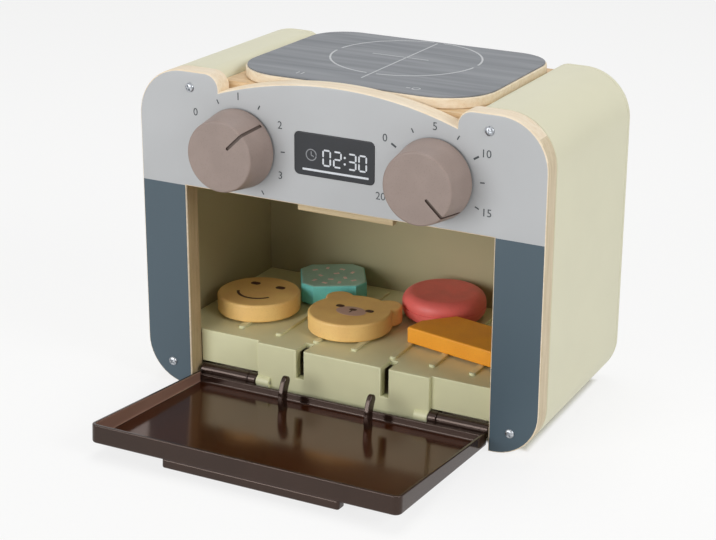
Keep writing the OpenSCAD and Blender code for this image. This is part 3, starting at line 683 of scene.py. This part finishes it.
class OVEN_OT_side_shells(bpy.types.Operator):
    """Build the two rounded side shells with their humps and deck ledges, and the back cover"""
    bl_idname = "toy_oven.side_shells"
    bl_label = "Side Shells"
    bl_options = {"REGISTER", "UNDO"}

    def execute(self, context):
        sizes, colours = context.scene.oven_sizes, context.scene.oven_colours
        steps, back_y, back_edge = (14, 16), 65, 6
        outer = [(88, 0)] + body_side(EAR_X, steps) + [(77.5, 179.2), (62, 179.2), (62, 172.2)]
        inner = arc(98, 157.2, 15, 90, 0, 8) + arc(98, 25, 15, 0, -90, 8) + [(88, 10)]
        paint = sprayed_lacquer("cream_lacquer", colours.shell)
        # The lining is the cream paint drawn darker as painted shade of the cavity.
        lining_shade = sprayed_lacquer("cream_lacquer_painted_shade", colours.lining_shade, 0.55)

        def inside(at, normal):
            """Is 1 for the faces that line the oven, which get the painted shade of the cavity, and 0
            for the outer ones.
            """
            return int(abs(at.x) < 113.2 and 9 < at.z < 172.4)
        for side, name in zip(SIDES, ("left", "right")):
            outline = [(side * x, z) for x, z in outer + inner]
            board = cut_board([outline], "Y", SHELL_Y, COVER_Y, in_mm(sizes.shell_edge))
            paint_faces(board, inside)
            make_piece(name + "_rounded_side", board, "oven_body",
                       [paint, lining_shade], [name + "_shell"])

        def ring(inset, y):
            """The back cover's outline at one depth, drawn in by the inset."""
            half = body_side(EAR_X, steps, inset) + [(77.5 + inset, 179.2 - inset)]
            return [(x, y, z) for x, z in mirrored(half)]
        loops = [ring(0.4, COVER_Y), ring(0, COVER_Y + 0.4)]
        loops += [ring(back_edge * (1 - math.cos(t)), back_y - back_edge * (1 - math.sin(t)))
                  for t in quarter_turn(8)]
        recesses = joined([cut_board([disc(side * x, z, 2.9)], "Y", BACK_SCREW_Y, back_y + 1)
                           for side in SIDES for x, z in BACK_SCREWS])
        cover = carved(lofted(loops), recesses)
        # The back cover's inner face gets the same painted shade as the shells' lining.
        paint_faces(cover, lambda at, normal: int(normal.y < -0.9))
        make_piece("rounded_back", cover, "oven_body", [paint, lining_shade],
                   ["back_cover"])
        return {"FINISHED"}


class OVEN_OT_bare_boards(bpy.types.Operator):
    """Finish the deck, the oven's ceiling, the bottom board and the door stop"""
    bl_idname = "toy_oven.bare_boards"
    bl_label = "Bare Boards"
    bl_options = {"REGISTER", "UNDO"}

    def execute(self, context):
        colours = context.scene.oven_colours
        tan = sanded_beech("deck_beech", colours.deck_light, colours.deck_dark, "X")
        pale = sanded_beech("board_beech", colours.wood_light, colours.wood_dark, "X")
        # The door stop gets beech drawn darker as painted shade.
        shaded = sanded_beech("stop_beech_painted_shade", colours.stop_shade_light, colours.stop_shade_dark, "X")
        finish_node("top_deck", tan, 0.5)
        finish_node("bottom_board", pale, 0.5)
        finish_node("oven_ceiling", pale, 0.4)
        finish_node("door_stop", shaded, 0.6)
        return {"FINISHED"}


class OVEN_OT_cooktop(bpy.types.Operator):
    """Build the cooktop board, its grey printed sheet and the ring, lines and icons on it"""
    bl_idname = "toy_oven.cooktop"
    bl_label = "Cooktop"
    bl_options = {"REGISTER", "UNDO"}

    board_z, sheet_z, top_z = 185.7, 191.5, 192.3

    def plan(self, inset):
        """The board's outline from above, with larger corners in front than behind."""
        half, front, back = 76.5 - inset, -52.5 + inset, 69.0 - inset
        front_r, back_r = 32 - inset, 24 - inset
        return mirrored([(0, front)] + arc(half - front_r, front + front_r, front_r, -90, 0, 16)
                        + arc(half - back_r, back - back_r, back_r, 0, 90, 14))[1:]

    def execute(self, context):
        sizes, colours = context.scene.oven_sizes, context.scene.oven_colours
        edge, line = in_mm(sizes.cooktop_edge), in_mm(sizes.ink_line)
        beech = sanded_beech("cooktop_beech", colours.wood_light, colours.wood_dark, "X")
        board = cut_board([self.plan(0)], "Z", self.board_z, self.sheet_z, edge)
        make_piece("rounded_cooktop_board", board, "oven_body", [beech],
                   ["cooktop_board"])
        sheet = cut_board([self.plan(0.9)], "Z", self.sheet_z, self.top_z, 0.3, 2)
        melamine = printed_melamine("brushed_melamine", colours.cooktop, colours.cooktop_band)
        make_piece("brushed_print_sheet", sheet, "oven_body", [melamine],
                   ["cooktop_face"])
        # The hob: a ring in four pieces, with a cross through its middle.
        cx, cy, radius = 0, 22, 44
        shapes = [stroke(arc(cx, cy, radius, start, start + 82, 24), line)
                  for start in (4, 94, 184, 274)]
        shapes.append(stroke([(cx - 22, cy), (cx + 14, cy)], line * 0.7))
        shapes.append(stroke([(cx, cy - 56), (cx, cy + 42)], line * 0.8))
        # The icons near the front edge: a small ring with a dash on the right, two bars on the left.
        shapes.append(stroke(arc(37, -41, 2.2, 0, 340, 14), 0.6))
        shapes.append(stroke([(31, -41), (33.5, -41)], 0.8))
        shapes += [stroke([(x, -43), (x, -39)], 0.6) for x in (-36, -33)]
        ink = joined([cut_board([shape], "Z", self.top_z - 0.02, self.top_z + 0.06)
                      for shape in shapes])
        make_piece("cooktop_lines", ink, "oven_body",
                   [screen_ink("pale_ink", colours.cooktop_line)])
        return {"FINISHED"}


class OVEN_OT_knobs(bpy.types.Operator):
    """Turn the two knobs and cut their pointer grooves"""
    bl_idname = "toy_oven.knobs"
    bl_label = "Knobs"
    bl_options = {"REGISTER", "UNDO"}

    base_r, face_r, height = 22.8, 20.2, 21.2
    pointers = {"left": 44, "right": -43}

    def execute(self, context):
        sizes, colours = context.scene.oven_sizes, context.scene.oven_colours
        edge = in_mm(sizes.knob_edge)
        paint = dipped_wood_paint("taupe_paint", colours.knob)
        # The groove's faces get the taupe drawn darker as painted shade.
        dark = dipped_wood_paint("groove_painted_shade", colours.groove_shade)
        # From the bottom of the spindle's bore, over the back and up the cone, to the face's middle.
        profile = [(0, 15.2), (3, 15.2), (3, 1.2), (22.3, 1.2), (22.7, 1.4), (self.base_r, 1.8)]
        profile += arc(self.face_r - edge, self.height - edge, edge, 8, 90, 4) + [(0, self.height)]

        def in_groove(at, normal):
            """Is 1 for the groove's walls and floor, inside the cone and under the face, which get the
            groove's painted shade.
            """
            wall = min(self.base_r, self.face_r + (20.0 - at.z) * 0.1436)
            near = abs(at.y) < 0.92 and at.x > 6.9 and 3.1 < at.z < self.height - 0.05
            return int(near and math.hypot(at.x, at.y) < wall - 0.07)
        for side, (name, pointer) in zip(SIDES, self.pointers.items()):
            across = cut_board([rounded_box(16, 0, 18, 1.8, 0.8)], "Z", 20.2, 22)
            down = lofted([[(x, y, z) for x, z in ((19.2, 22), (26, 22), (26, 3.2), (21.9, 3.2))]
                           for y in (-0.9, 0.9)])
            knob = carved(turned(profile), merged(across, down))
            paint_faces(knob, in_groove)
            knob = moved(knob, Matrix.Translation((side * KNOB_X, FRONT_Y, KNOB_Z))
                         @ turn(90, "X") @ turn(pointer, "Z"))
            make_piece(name + "_turning_knob", knob, name + "_knob_set",
                       [paint, dark], [name + "_knob"])
        return {"FINISHED"}


class OVEN_OT_dials(bpy.types.Operator):
    """Print the ticks and the small numbers round the knobs"""
    bl_idname = "toy_oven.dials"
    bl_label = "Dial Marks"
    bl_options = {"REGISTER", "UNDO"}

    tick_radius = 28
    ticks = {-1: (118, 62, 3, -58), 1: (148, 118, 61, 32, 4, -26)}
    bold_ticks = ((1, 148), (1, 32))
    numbers = {-1: ((149, 32.5, "0"), (90, 29.2, "1"), (32, 31.0, "2"), (-25, 29.0, "3")),
               1: ((148, 34.6, "0"), (90, 28.6, "5"), (31, 34.6, "10"), (-25, 34.0, "15"),
                   (-155, 35, "20"))}

    def on_dial(self, side, angle, radius):
        """A point round a knob, its angle in degrees anticlockwise from the right."""
        a = math.radians(angle)
        return side * KNOB_X + radius * math.cos(a), KNOB_Z + radius * math.sin(a)

    def execute(self, context):
        sizes, colours = context.scene.oven_sizes, context.scene.oven_colours
        reach = in_mm(sizes.tick_length) / 2
        shapes = []
        for side, angles in self.ticks.items():
            for angle in angles:
                bold = (side, angle) in self.bold_ticks
                ends = [self.on_dial(side, angle, self.tick_radius - reach),
                        self.on_dial(side, angle, self.tick_radius + reach + (0.8 if bold else 0))]
                tick = stroke(ends, 1.1 if bold else 0.7)
                shapes.append(cut_board([tick], "Y", FRONT_Y - 0.08, FRONT_Y + 0.02))
        for side, labels in self.numbers.items():
            for angle, radius, text in labels:
                shapes.append(written(text, 4.6, self.on_dial(side, angle, radius)))
        make_piece("dial_marks", joined(shapes), "oven_body",
                   [screen_ink("dial_ink", colours.marks)])
        return {"FINISHED"}


def written(text, height, at):
    """Thin printed characters on the front panel, upright and centred on a point."""
    letters = bpy.data.curves.new("number", "FONT")
    # The built-in font's figures are about 1 / 1.35 of its nominal size.
    letters.body, letters.size = text, height * MM * 1.35
    letters.align_x, letters.align_y = "CENTER", "CENTER"
    letters.extrude = 0.05 * MM
    letters.resolution_u = 3
    holder = bpy.data.objects.new("number", letters)
    bpy.context.scene.collection.objects.link(holder)
    depsgraph = bpy.context.evaluated_depsgraph_get()
    mesh = bpy.data.meshes.new_from_object(holder.evaluated_get(depsgraph))
    bpy.data.objects.remove(holder)
    bpy.data.curves.remove(letters)
    bm = bmesh.new()
    bm.from_mesh(mesh)
    bmesh.ops.remove_doubles(bm, verts=bm.verts, dist=1e-6)
    bm.to_mesh(mesh)
    bm.free()
    mesh.materials.clear()
    return moved(mesh, Matrix.Translation((at[0], FRONT_Y - 0.03, at[1])) @ turn(90, "X"))


class OVEN_OT_display(bpy.types.Operator):
    """Build the clock window with its segment digits, clock icon and bar"""
    bl_idname = "toy_oven.display"
    bl_label = "Clock Window"
    bl_options = {"REGISTER", "UNDO"}

    segments = {"0": "abcdef", "2": "abged", "3": "abgcd"}
    reading = (("0", -4.4), ("2", 2.2), ("3", 11.2), ("0", 17.6))
    digit_width, bar_width, bar_gap = 4.4, 0.95, 0.25

    def digit(self, figure, cx, cz, height):
        """Seven-segment bars of one figure, pointed at both ends."""
        half, point, gap = self.digit_width / 2, self.bar_width / 2, self.bar_gap
        level = {"a": height / 2, "g": 0, "d": -height / 2}
        bars = []
        for name in self.segments[figure]:
            if name in level:
                x0, x1, z = cx - half + gap, cx + half - gap, cz + level[name]
                bars.append([(x0, z), (x0 + point, z + point), (x1 - point, z + point),
                             (x1, z), (x1 - point, z - point), (x0 + point, z - point)])
            else:
                x = cx + (half if name in "bc" else -half)
                low = cz if name in "bf" else cz - height / 2
                z0, z1 = low + gap, low + height / 2 - gap
                bars.append([(x, z0), (x + point, z0 + point), (x + point, z1 - point),
                             (x, z1), (x - point, z1 - point), (x - point, z0 + point)])
        return bars

    def execute(self, context):
        sizes, colours = context.scene.oven_sizes, context.scene.oven_colours
        face_y = FRONT_Y - 0.4
        pane = rounded_box(0, DISPLAY_Z, 49.4, 24.4, 3, 8)
        window = cut_board([pane], "Y", face_y, FRONT_Y + 1.98, 0.35)
        make_piece("clock_window", window, "oven_body",
                   [tinted_acrylic("screen_acrylic", colours.screen)], ["display_window"])
        z = DISPLAY_Z - 0.7
        bars = []
        for figure, x in self.reading:
            bars += self.digit(figure, x, z, in_mm(sizes.digit_height))
        bars += [disc(6.7, z + dz, 0.65, 12) for dz in (-1.8, 1.8)]
        bars.append(rounded_box(0.9, DISPLAY_Z - 8.6, 40.8, 1.2, 0.4, 3))
        bright = joined([cut_board([bar], "Y", face_y - 0.08, face_y + 0.02) for bar in bars])
        make_piece("clock_digits", bright, "oven_body",
                   [screen_ink("digit_ink", colours.digits, 0.4)])
        icon = [stroke(arc(-14, z + 0.6, 3.1, 0, 352, 28), 0.6),
                stroke([(-14, z + 0.6), (-14, z + 2.6)], 0.55),
                stroke([(-14.1, z + 0.5), (-12.4, z - 0.2)], 0.55)]
        dim = joined([cut_board([part], "Y", face_y - 0.07, face_y + 0.02) for part in icon])
        make_piece("clock_icon", dim, "oven_body",
                   [screen_ink("icon_ink", shade(colours.digits, 0.35))])
        return {"FINISHED"}


class OVEN_OT_screws(bpy.types.Operator):
    """Build the domed cross-head screws, and finish the hidden fasteners"""
    bl_idname = "toy_oven.screws"
    bl_label = "Screws"
    bl_options = {"REGISTER", "UNDO"}

    hidden = ("hinge_pins", "left_spindle", "right_spindle", "left_washer", "right_washer",
              "left_knob_screw", "right_knob_screw", "base_screws", "deck_screws")

    def head_screw(self):
        """One screw along Z with its head's top at 1.4 mm."""
        profile = [(0, 1.4), (1.2, 1.34), (2.0, 1.1), (2.5, 0.7), (2.7, 0.25), (2.7, 0),
                   (1.5, 0), (1.5, -18), (0, -20)]
        cross = merged(*(cut_board([rounded_box(0, 0, width, depth, 0.2, 2)], "Z", 0.6, 2)
                         for width, depth in ((3.4, 0.8), (0.8, 3.4))))
        return carved(turned(profile, 32), cross)

    def execute(self, context):
        colours = context.scene.oven_colours
        steel = zinc_plated_steel("zinc_plated_steel", colours.zinc_dark, colours.zinc_light)
        for name, way, y, places in (("front", 90, FRONT_Y, (EAR_SCREW, FOOT_SCREW)),
                                     ("back", -90, BACK_SCREW_Y, BACK_SCREWS)):
            points = [(side * x, y, z) for side in SIDES for x, z in places]
            # Each screw was stopped at its own angle.
            screws = [moved(self.head_screw(),
                            Matrix.Translation(at) @ turn(way, "X") @ turn(25 + 31 * i, "Z"))
                      for i, at in enumerate(points)]
            make_piece(name + "_cross_screws", joined(screws), "oven_body", [steel],
                       [name + "_screws"])
        for node in self.hidden:
            finish_node(node, steel, 0.2)
        finish_node("knob_bushes", moulded_plastic("white_nylon", colours.nylon, 0.45), 0.2)
        finish_node("friction_rings", pressed_felt("grey_felt", colours.felt), 0.2)
        return {"FINISHED"}


class OVEN_OT_base_moulding(bpy.types.Operator):
    """Build the pale green oven floor with its ribs, fascia and finger slots"""
    bl_idname = "toy_oven.base_moulding"
    bl_label = "Base Moulding"
    bl_options = {"REGISTER", "UNDO"}

    def execute(self, context):
        sizes, colours = context.scene.oven_sizes, context.scene.oven_colours
        edge = in_mm(sizes.moulding_edge)
        floor_z, back_y, slot_half = 32.5, -51, 2.5

        def notched(half, low, high, bottom):
            """A panel outline with the two finger slots cut down from its upper side."""
            slots = [(x, z) for cx in (FINGER_X, -FINGER_X) for x, z in (
                (cx + slot_half, high), (cx + slot_half, bottom),
                (cx - slot_half, bottom), (cx - slot_half, high))]
            return [(-half, low), (half, low), (half, high)] + slots + [(-half, high)]
        plate = [(x, -y) for x, y in notched(112.6, -56.8, 52.8, 44.25)]
        parts = [cut_board([notched(DOORWAY_X - 0.3, 12.5, floor_z, 15)], "Y", -54, back_y, edge),
                 cut_board([notched(55.5, 5, floor_z, 15)], "Y", -56.8, back_y, edge * 1.4),
                 cut_board([plate], "Z", floor_z - 3, floor_z, edge * 0.6)]
        parts += [cut_board([rounded_box(25 * i, 3.98, 4, 94, 1.98, 6)], "Z", floor_z - 1, BISCUIT_Z,
                            edge * 1.2) for i in range(-3, 4)]
        # Three walls carry the plate on the bottom board.
        parts += [cut_board([[(x0, -41), (x1, -41), (x1, 55), (x0, 55)]], "Z", 10, 30.5, 0.4)
                  for x0, x1 in ((-96, -80), (-2, 2), (80, 96))]
        # Two bosses hold the hinge pins.
        boss = [disc(HINGE_Y, HINGE_Z, 3.5), disc(HINGE_Y, HINGE_Z, 1.5, 24)]
        parts += [cut_board(boss, "X", x, x + 8.5, 0.3) for x in (-55.5, 47)]
        make_piece("ribbed_oven_floor", merged(*parts), "oven_body",
                   [moulded_plastic("pale_green_abs", colours.moulding)], ["base_moulding"])
        return {"FINISHED"}


class OVEN_OT_tray_door(bpy.types.Operator):
    """Build the smoked tray door with its handle bar, fingers, hinge lugs and barrels"""
    bl_idname = "toy_oven.tray_door"
    bl_label = "Tray Door"
    bl_options = {"REGISTER", "UNDO"}

    # Millimetres from the hinge axis, with the tray lying level: Y back and Z up.
    rear_y, front_y, outer_z = -5.0, -112.5, -7.8
    wall, floor_top, fillet, corner = 2, 3.2, 1.2, 4

    def tray(self, edge):
        """The open tray: its outer face, its rim, its inner face and its floor as one skin."""
        rear = [(x, self.rear_y) for x in (93, 90.4, 40, 0, -40, -90.4, -93)]
        cx, cy = 93 - self.corner, self.front_y + self.corner
        base = [Vector(p) for p in rear + arc(-cx, cy, self.corner, 180, 270, 6)
                + arc(cx, cy, self.corner, 270, 360, 6)]

        def rim(point):
            """Height of the tray's wall above its outer face: low behind, rising to the front."""
            if point.y > self.rear_y - 0.01 and abs(point.x) < 91:
                return 6.6
            return 8 + 2.6 * (-point.y - 5) / 107.5

        def ring(inset, height=0.0, under_rim=None):
            """The outline drawn in by the inset, at a height or at a distance under the rim."""
            return [(p.x, p.y, (height if under_rim is None else rim(q) - under_rim) + self.outer_z)
                    for p, q in zip(drawn_in(base, inset), base)]
        wall, fillet = self.wall, self.fillet
        turns = [(1 - math.sin(t), 1 - math.cos(t)) for t in quarter_turn(3)]
        loops = [ring(fillet * s, fillet * c) for s, c in turns]
        loops += [ring(edge * c, under_rim=edge * s) for s, c in turns]
        loops += [ring(wall - edge * s, under_rim=edge * c) for s, c in turns]
        loops += [ring(wall + fillet * c, self.floor_top - fillet * (1 - s)) for s, c in turns]
        return lofted(loops)

    def execute(self, context):
        sizes, colours = context.scene.oven_sizes, context.scene.oven_colours
        parts = [self.tray(in_mm(sizes.door_edge)),
                 cut_board([rounded_box(6, -109, 106, 7, 1.6)], "Z", -12.3, -7.2, 0.9)]
        # Each latch finger is a ring segment round the hinge, with a round tip.
        tip_turn = math.radians(30.5)
        tip = (-20.5 * math.cos(tip_turn), 20.5 * math.sin(tip_turn))
        finger = arc(0, 0, 23.5, 195.5, 149.5, 14) + arc(*tip, 3, 149.5, -30.5, 8)[1:-1]
        finger += arc(0, 0, 17.5, 149.5, 201, 12)
        root = [(-6.5, -3.8), (-6.5, -1.2)]
        lug = root + arc(0, 0, 3.9, 197.9, 90, 10) + [(6, 3.9), (6, -1)]
        lug += arc(0, 0, 3.9, -14.9, -103, 8)
        barrel = root + arc(0, 0, 3.8, 197.9, -103, 40)
        parts += [cut_board([finger], "X", x - 1.5, x + 1.5, 0.6) for x in (-FINGER_X, FINGER_X)]
        parts += [cut_board([barrel], "X", x, x + 31.4, 0.3) for x in (-92.8, 61.4)]
        parts += [cut_board([lug, disc(0, 0, 1.55, 24)], "X", x, x + 5, 0.4) for x in (-60.9, 55.9)]
        hinge = Matrix.Translation((0, HINGE_Y, HINGE_Z)) @ turn(-4, "X")
        door = moved(merged(*parts), hinge)
        # One smoked plastic in three copies: plain, lighter side walls as painted light, and a darker
        # floor as painted shade.
        plain, backlit, deep = range(3)

        def tint(at, normal):
            """The finish of a face: painted light on the inner faces of the side walls, where light
            shines through, and painted shade on the tray's floor.
            """
            if 90.4 < abs(at.x) < 91.6 and at.x * normal.x < -60:
                return backlit
            on_floor = normal.z > 0.98 and abs(at.x) < 90 and at.y < -63.5
            return deep if on_floor and at.z < 4 + 0.07 * (-at.y - 60) else plain
        paint_faces(door, tint)
        make_piece("smoked_tray", door, "door", [
            smoked_styrene("smoked_styrene", colours.smoke, 0.3, colours.smoke_sheen),
            smoked_styrene("backlit_smoked_styrene", colours.smoke_backlit, 0.45, colours.smoke_sheen),
            smoked_styrene("shadowed_smoked_styrene", colours.smoke_shadowed, 0.2, colours.smoke_floor_sheen),
        ], ["door"])
        return {"FINISHED"}


class OVEN_OT_biscuits(bpy.types.Operator):
    """Build the five loose biscuits with their faces and sprinkles"""
    bl_idname = "toy_oven.biscuits"
    bl_label = "Biscuits"
    bl_options = {"REGISTER", "UNDO"}

    # Each sprinkle's place on the square biscuit, and its angle in degrees.
    scattered = ((-11, 9, 20), (-3, 12, 80), (6, 9, 140), (12, 3, 60), (2, 2, 15), (-8, -1, 120),
                 (-12, -9, 50), (-2, -8, 170), (7, -6, 100), (12, -11, 30), (3, -14, 75),
                 (-6, -14, 140))

    def on_top(self, shapes, z):
        """Thin prints on a biscuit's top."""
        return joined([cut_board([shape], "Z", z - 0.02, z + 0.08) for shape in shapes])

    def execute(self, context):
        sizes, colours = context.scene.oven_sizes, context.scene.oven_colours
        edge = in_mm(sizes.biscuit_edge)
        tan = dipped_wood_paint("tan_paint", colours.tan, shade(colours.tan, 1.0))
        ink = screen_ink("face_ink", colours.face_ink)
        low, round_r = BISCUIT_Z, 25

        cx, cy, top = -80.5, -12.5, low + 11
        smile = cut_board([disc(cx, cy, round_r, 96)], "Z", low, top, edge, 4)
        make_piece("smiling_biscuit_wood", smile, "smiling_biscuit_piece", [tan],
                   ["smiling_biscuit"])
        face = [rounded_box(cx + side * 8.7, cy + 10.6, 6.0, 4.4, 1.9) for side in SIDES]
        face.append(stroke(arc(cx, cy, 12.6, 202, 328, 24), 1.7))
        make_piece("smile_print", self.on_top(face, top), "smiling_biscuit_piece",
                   [ink])

        cx, cy = -17.3, -14.0
        head = cut_board([disc(cx, cy, round_r, 96)], "Z", low, top, edge, 4)
        ears = [disc(cx + 24 * math.sin(a), cy + 24 * math.cos(a), 8.5, 48)
                for a in (math.radians(-43), math.radians(43))]
        ears = [cut_board([ear], "Z", low, top, edge, 4) for ear in ears]
        make_piece("bear_biscuit_wood", merged(head, *ears), "bear_biscuit_piece", [tan],
                   ["bear_biscuit"])
        mx = cx + 1.6
        muzzle = [(mx + 9.4 * math.cos(t / 16 * math.pi), cy - 1.6 + 6.8 * math.sin(t / 16 * math.pi))
                  for t in range(32)]
        make_piece("bear_muzzle_print", self.on_top([muzzle], top), "bear_biscuit_piece",
                   [screen_ink("muzzle_ink", colours.muzzle)])
        face = [rounded_box(mx + side * 9.8, cy + 3, 5.2, 3.8, 1.7) for side in SIDES]
        face.append(rounded_box(mx, cy + 0.8, 4.6, 3.0, 1.4))
        face.append(stroke([(mx, cy - 0.4), (mx, cy - 4.0)], 0.9))
        print_gap = Matrix.Translation((0, 0, 0.05))
        make_piece("bear_face_print", moved(self.on_top(face, top), print_gap),
                   "bear_biscuit_piece", [ink])

        cx, cy, top = -52.0, 29.0, low + 13
        k, h = 13, 20
        a = math.radians(31)

        def swing(x, y):
            """A point of the square biscuit, turned as it lies in the oven."""
            return cx + x * math.cos(a) - y * math.sin(a), cy + x * math.sin(a) + y * math.cos(a)
        corners = [(-k, -h), (k, -h), (h, -k), (h, k), (k, h), (-k, h), (-h, k), (-h, -k)]
        square = cut_board([[swing(x, y) for x, y in corners]], "Z", low, top, edge, 4)
        # The square biscuit's top gets the teal drawn greyer as painted shade.
        make_piece("square_biscuit_wood", square, "square_biscuit_piece",
                   [dipped_wood_paint("teal_paint", colours.teal, colours.teal_top_shade)],
                   ["square_biscuit"])
        sprinkles = []
        for x, y, angle in self.scattered:
            dx, dy = 1.7 * math.cos(math.radians(angle)), 1.7 * math.sin(math.radians(angle))
            sprinkles.append(stroke([swing(x - dx, y - dy), swing(x + dx, y + dy)], 2.0))
        make_piece("sprinkle_print", self.on_top(sprinkles, top), "square_biscuit_piece",
                   [screen_ink("sprinkle_ink", colours.sprinkles)])

        # Two rounded halves with a thin joint line between them.
        profile = [(0, 0)] + [(19.1 + x, 6.4 + y) for x, y in arc(0, 0, 6.4, -90, 0, 8)]
        profile += [(25.5, 7.6), (25.1, 7.8), (25.1, 8.2), (25.5, 8.4)]
        profile += [(19.1 + x, 9.6 + y) for x, y in arc(0, 0, 6.4, 0, 90, 8)] + [(0, 16)]
        sandwich = moved(turned(profile), Matrix.Translation((24.0, 29.5, low)))
        # The sandwich biscuit's top gets the red drawn a little darker as painted shade.
        make_piece("sandwich_biscuit_wood", sandwich, "sandwich_biscuit_piece",
                   [dipped_wood_paint("red_paint", colours.red, shade(colours.red, 0.95))],
                   ["sandwich_biscuit"])

        corners = [(-31, -16), (31, -16), (31, -3), (19, 16), (-19, 16), (-31, -3)]
        segment = moved(cut_board([corners], "Z", 0, 10, 1.0, 3),
                        Matrix.Translation((57.1, -10.2, low)) @ turn(-11.5, "Z"))
        make_piece("orange_slice_wood", segment, "orange_slice_piece",
                   [dipped_wood_paint("orange_paint", colours.orange, shade(colours.orange, 1.0))],
                   ["orange_slice"])
        return {"FINISHED"}


class OVEN_OT_stage(bpy.types.Operator):
    """Lay the paper floor and set the lamps and the camera"""
    bl_idname = "toy_oven.stage"
    bl_label = "Studio Stage"
    bl_options = {"REGISTER", "UNDO"}

    def lamp(self, name, at, power, size):
        """A round soft lamp that looks at the oven's middle; metres and watts."""
        data = bpy.data.lights.new(name, "AREA")
        data.shape, data.size, data.energy = "DISK", size, power
        lamp = bpy.data.objects.new(name, data)
        bpy.context.scene.collection.objects.link(lamp)
        lamp.location = at
        lamp.rotation_euler = (Vector((0, 0, 0.09)) - Vector(at)).to_track_quat("-Z", "Y").to_euler()

    def floor(self, finish):
        """A round sheet of paper just under the oven, in three rings of 48 points."""
        bm = bmesh.new()
        angles = [i * math.pi / 24 for i in range(48)]
        rings = [[bm.verts.new((r * math.cos(a), r * math.sin(a), -0.0002)) for a in angles]
                 for r in (0.6, 1.5, 4.0)]
        bm.faces.new(rings[0])
        for low, high in zip(rings, rings[1:]):
            for i in range(len(low)):
                bm.faces.new((low[i - 1], high[i - 1], high[i], low[i]))
        mesh = to_mesh(bm)
        mesh.materials.append(finish)
        floor = bpy.data.objects.new("paper_floor", mesh)
        bpy.context.scene.collection.objects.link(floor)

    def sky(self, fill):
        """Even light from all round, and plain white where the eye sees past the paper."""
        world = bpy.data.worlds.new("studio_sky")
        world.use_nodes = True
        tree = world.node_tree
        tree.nodes.clear()
        strength = add_node(tree, "ShaderNodeMapRange", {
            "Value": background_rays(tree), "To Min": fill, "To Max": 1.0})
        sky = add_node(tree, "ShaderNodeBackground", {"Color": (1, 1, 1, 1), "Strength": strength})
        add_node(tree, "ShaderNodeOutputWorld", {"Surface": sky})
        return world

    def camera(self):
        """The camera at the photograph's viewing angle; angles in radians."""
        data = bpy.data.cameras.new("photo_camera")
        data.lens, data.sensor_width = 86.467, 36.0
        data.shift_x, data.shift_y = -0.1711, -0.0441
        camera = bpy.data.objects.new("photo_camera", data)
        bpy.context.scene.collection.objects.link(camera)
        yaw, pitch, roll = 0.410379, 0.334018, 0.028410
        ahead = Vector((-math.sin(yaw) * math.cos(pitch), math.cos(yaw) * math.cos(pitch),
                        -math.sin(pitch)))
        right = Vector((math.cos(yaw), math.sin(yaw), 0))
        up = right.cross(ahead)
        across = math.cos(roll) * right + math.sin(roll) * up
        upright = -math.sin(roll) * right + math.cos(roll) * up
        facing = Matrix((across, upright, -ahead)).transposed().to_4x4()
        camera.matrix_world = Matrix.Translation((0.430315, -0.852375, 0.420727)) @ facing
        return camera

    def execute(self, context):
        scene, stage = context.scene, context.scene.oven_stage
        self.floor(studio_paper("studio_paper", stage.paper, stage.glow))
        self.lamp("front_lamp", (-0.75, -1.8, 0.45), stage.front_lamp, 1.4)
        self.lamp("side_lamp", (1.55, -0.35, 0.95), stage.side_lamp, 0.9)
        self.lamp("top_lamp", (-0.1, 0.25, 1.6), stage.top_lamp, 0.8)
        scene.world = self.sky(stage.fill)
        scene.view_settings.view_transform = "Standard"
        scene.camera = self.camera()
        return {"FINISHED"}


class OVEN_PT_sidebar(bpy.types.Panel):
    """Lists the toy oven's pieces, sizes and colours"""
    bl_idname = "OVEN_PT_sidebar"
    bl_label = "Toy Oven"
    bl_space_type = "VIEW_3D"
    bl_region_type = "UI"
    bl_category = "Toy Oven"

    def draw(self, context):
        layout = self.layout
        for operator in PIECES:
            layout.operator(operator.bl_idname)
        for group in (context.scene.oven_sizes, context.scene.oven_colours, context.scene.oven_stage):
            box = layout.box()
            for key in group.__annotations__:
                box.prop(group, key)


PIECES = (OVEN_OT_stage, OVEN_OT_front_panel, OVEN_OT_side_shells, OVEN_OT_bare_boards,
          OVEN_OT_cooktop, OVEN_OT_knobs, OVEN_OT_dials, OVEN_OT_display, OVEN_OT_screws,
          OVEN_OT_base_moulding, OVEN_OT_tray_door, OVEN_OT_biscuits)
GROUPS = (OvenSizes, OvenColours, StageSettings)


def register():
    """Adds the classes and their settings to Blender."""
    for item in GROUPS + PIECES + (OVEN_PT_sidebar,):
        bpy.utils.register_class(item)
    bpy.types.Scene.oven_sizes = bpy.props.PointerProperty(type=OvenSizes)
    bpy.types.Scene.oven_colours = bpy.props.PointerProperty(type=OvenColours)
    bpy.types.Scene.oven_stage = bpy.props.PointerProperty(type=StageSettings)


def unregister():
    """Takes the settings and the classes out again."""
    for name in ("oven_stage", "oven_colours", "oven_sizes"):
        delattr(bpy.types.Scene, name)
    for item in reversed(GROUPS + PIECES + (OVEN_PT_sidebar,)):
        bpy.utils.unregister_class(item)


def main():
    register()
    for operator in PIECES:
        group, name = operator.bl_idname.split(".")
        if getattr(getattr(bpy.ops, group), name)() != {"FINISHED"}:
            raise RuntimeError(operator.bl_label + " did not finish")


if __name__ == "__main__":
    main()
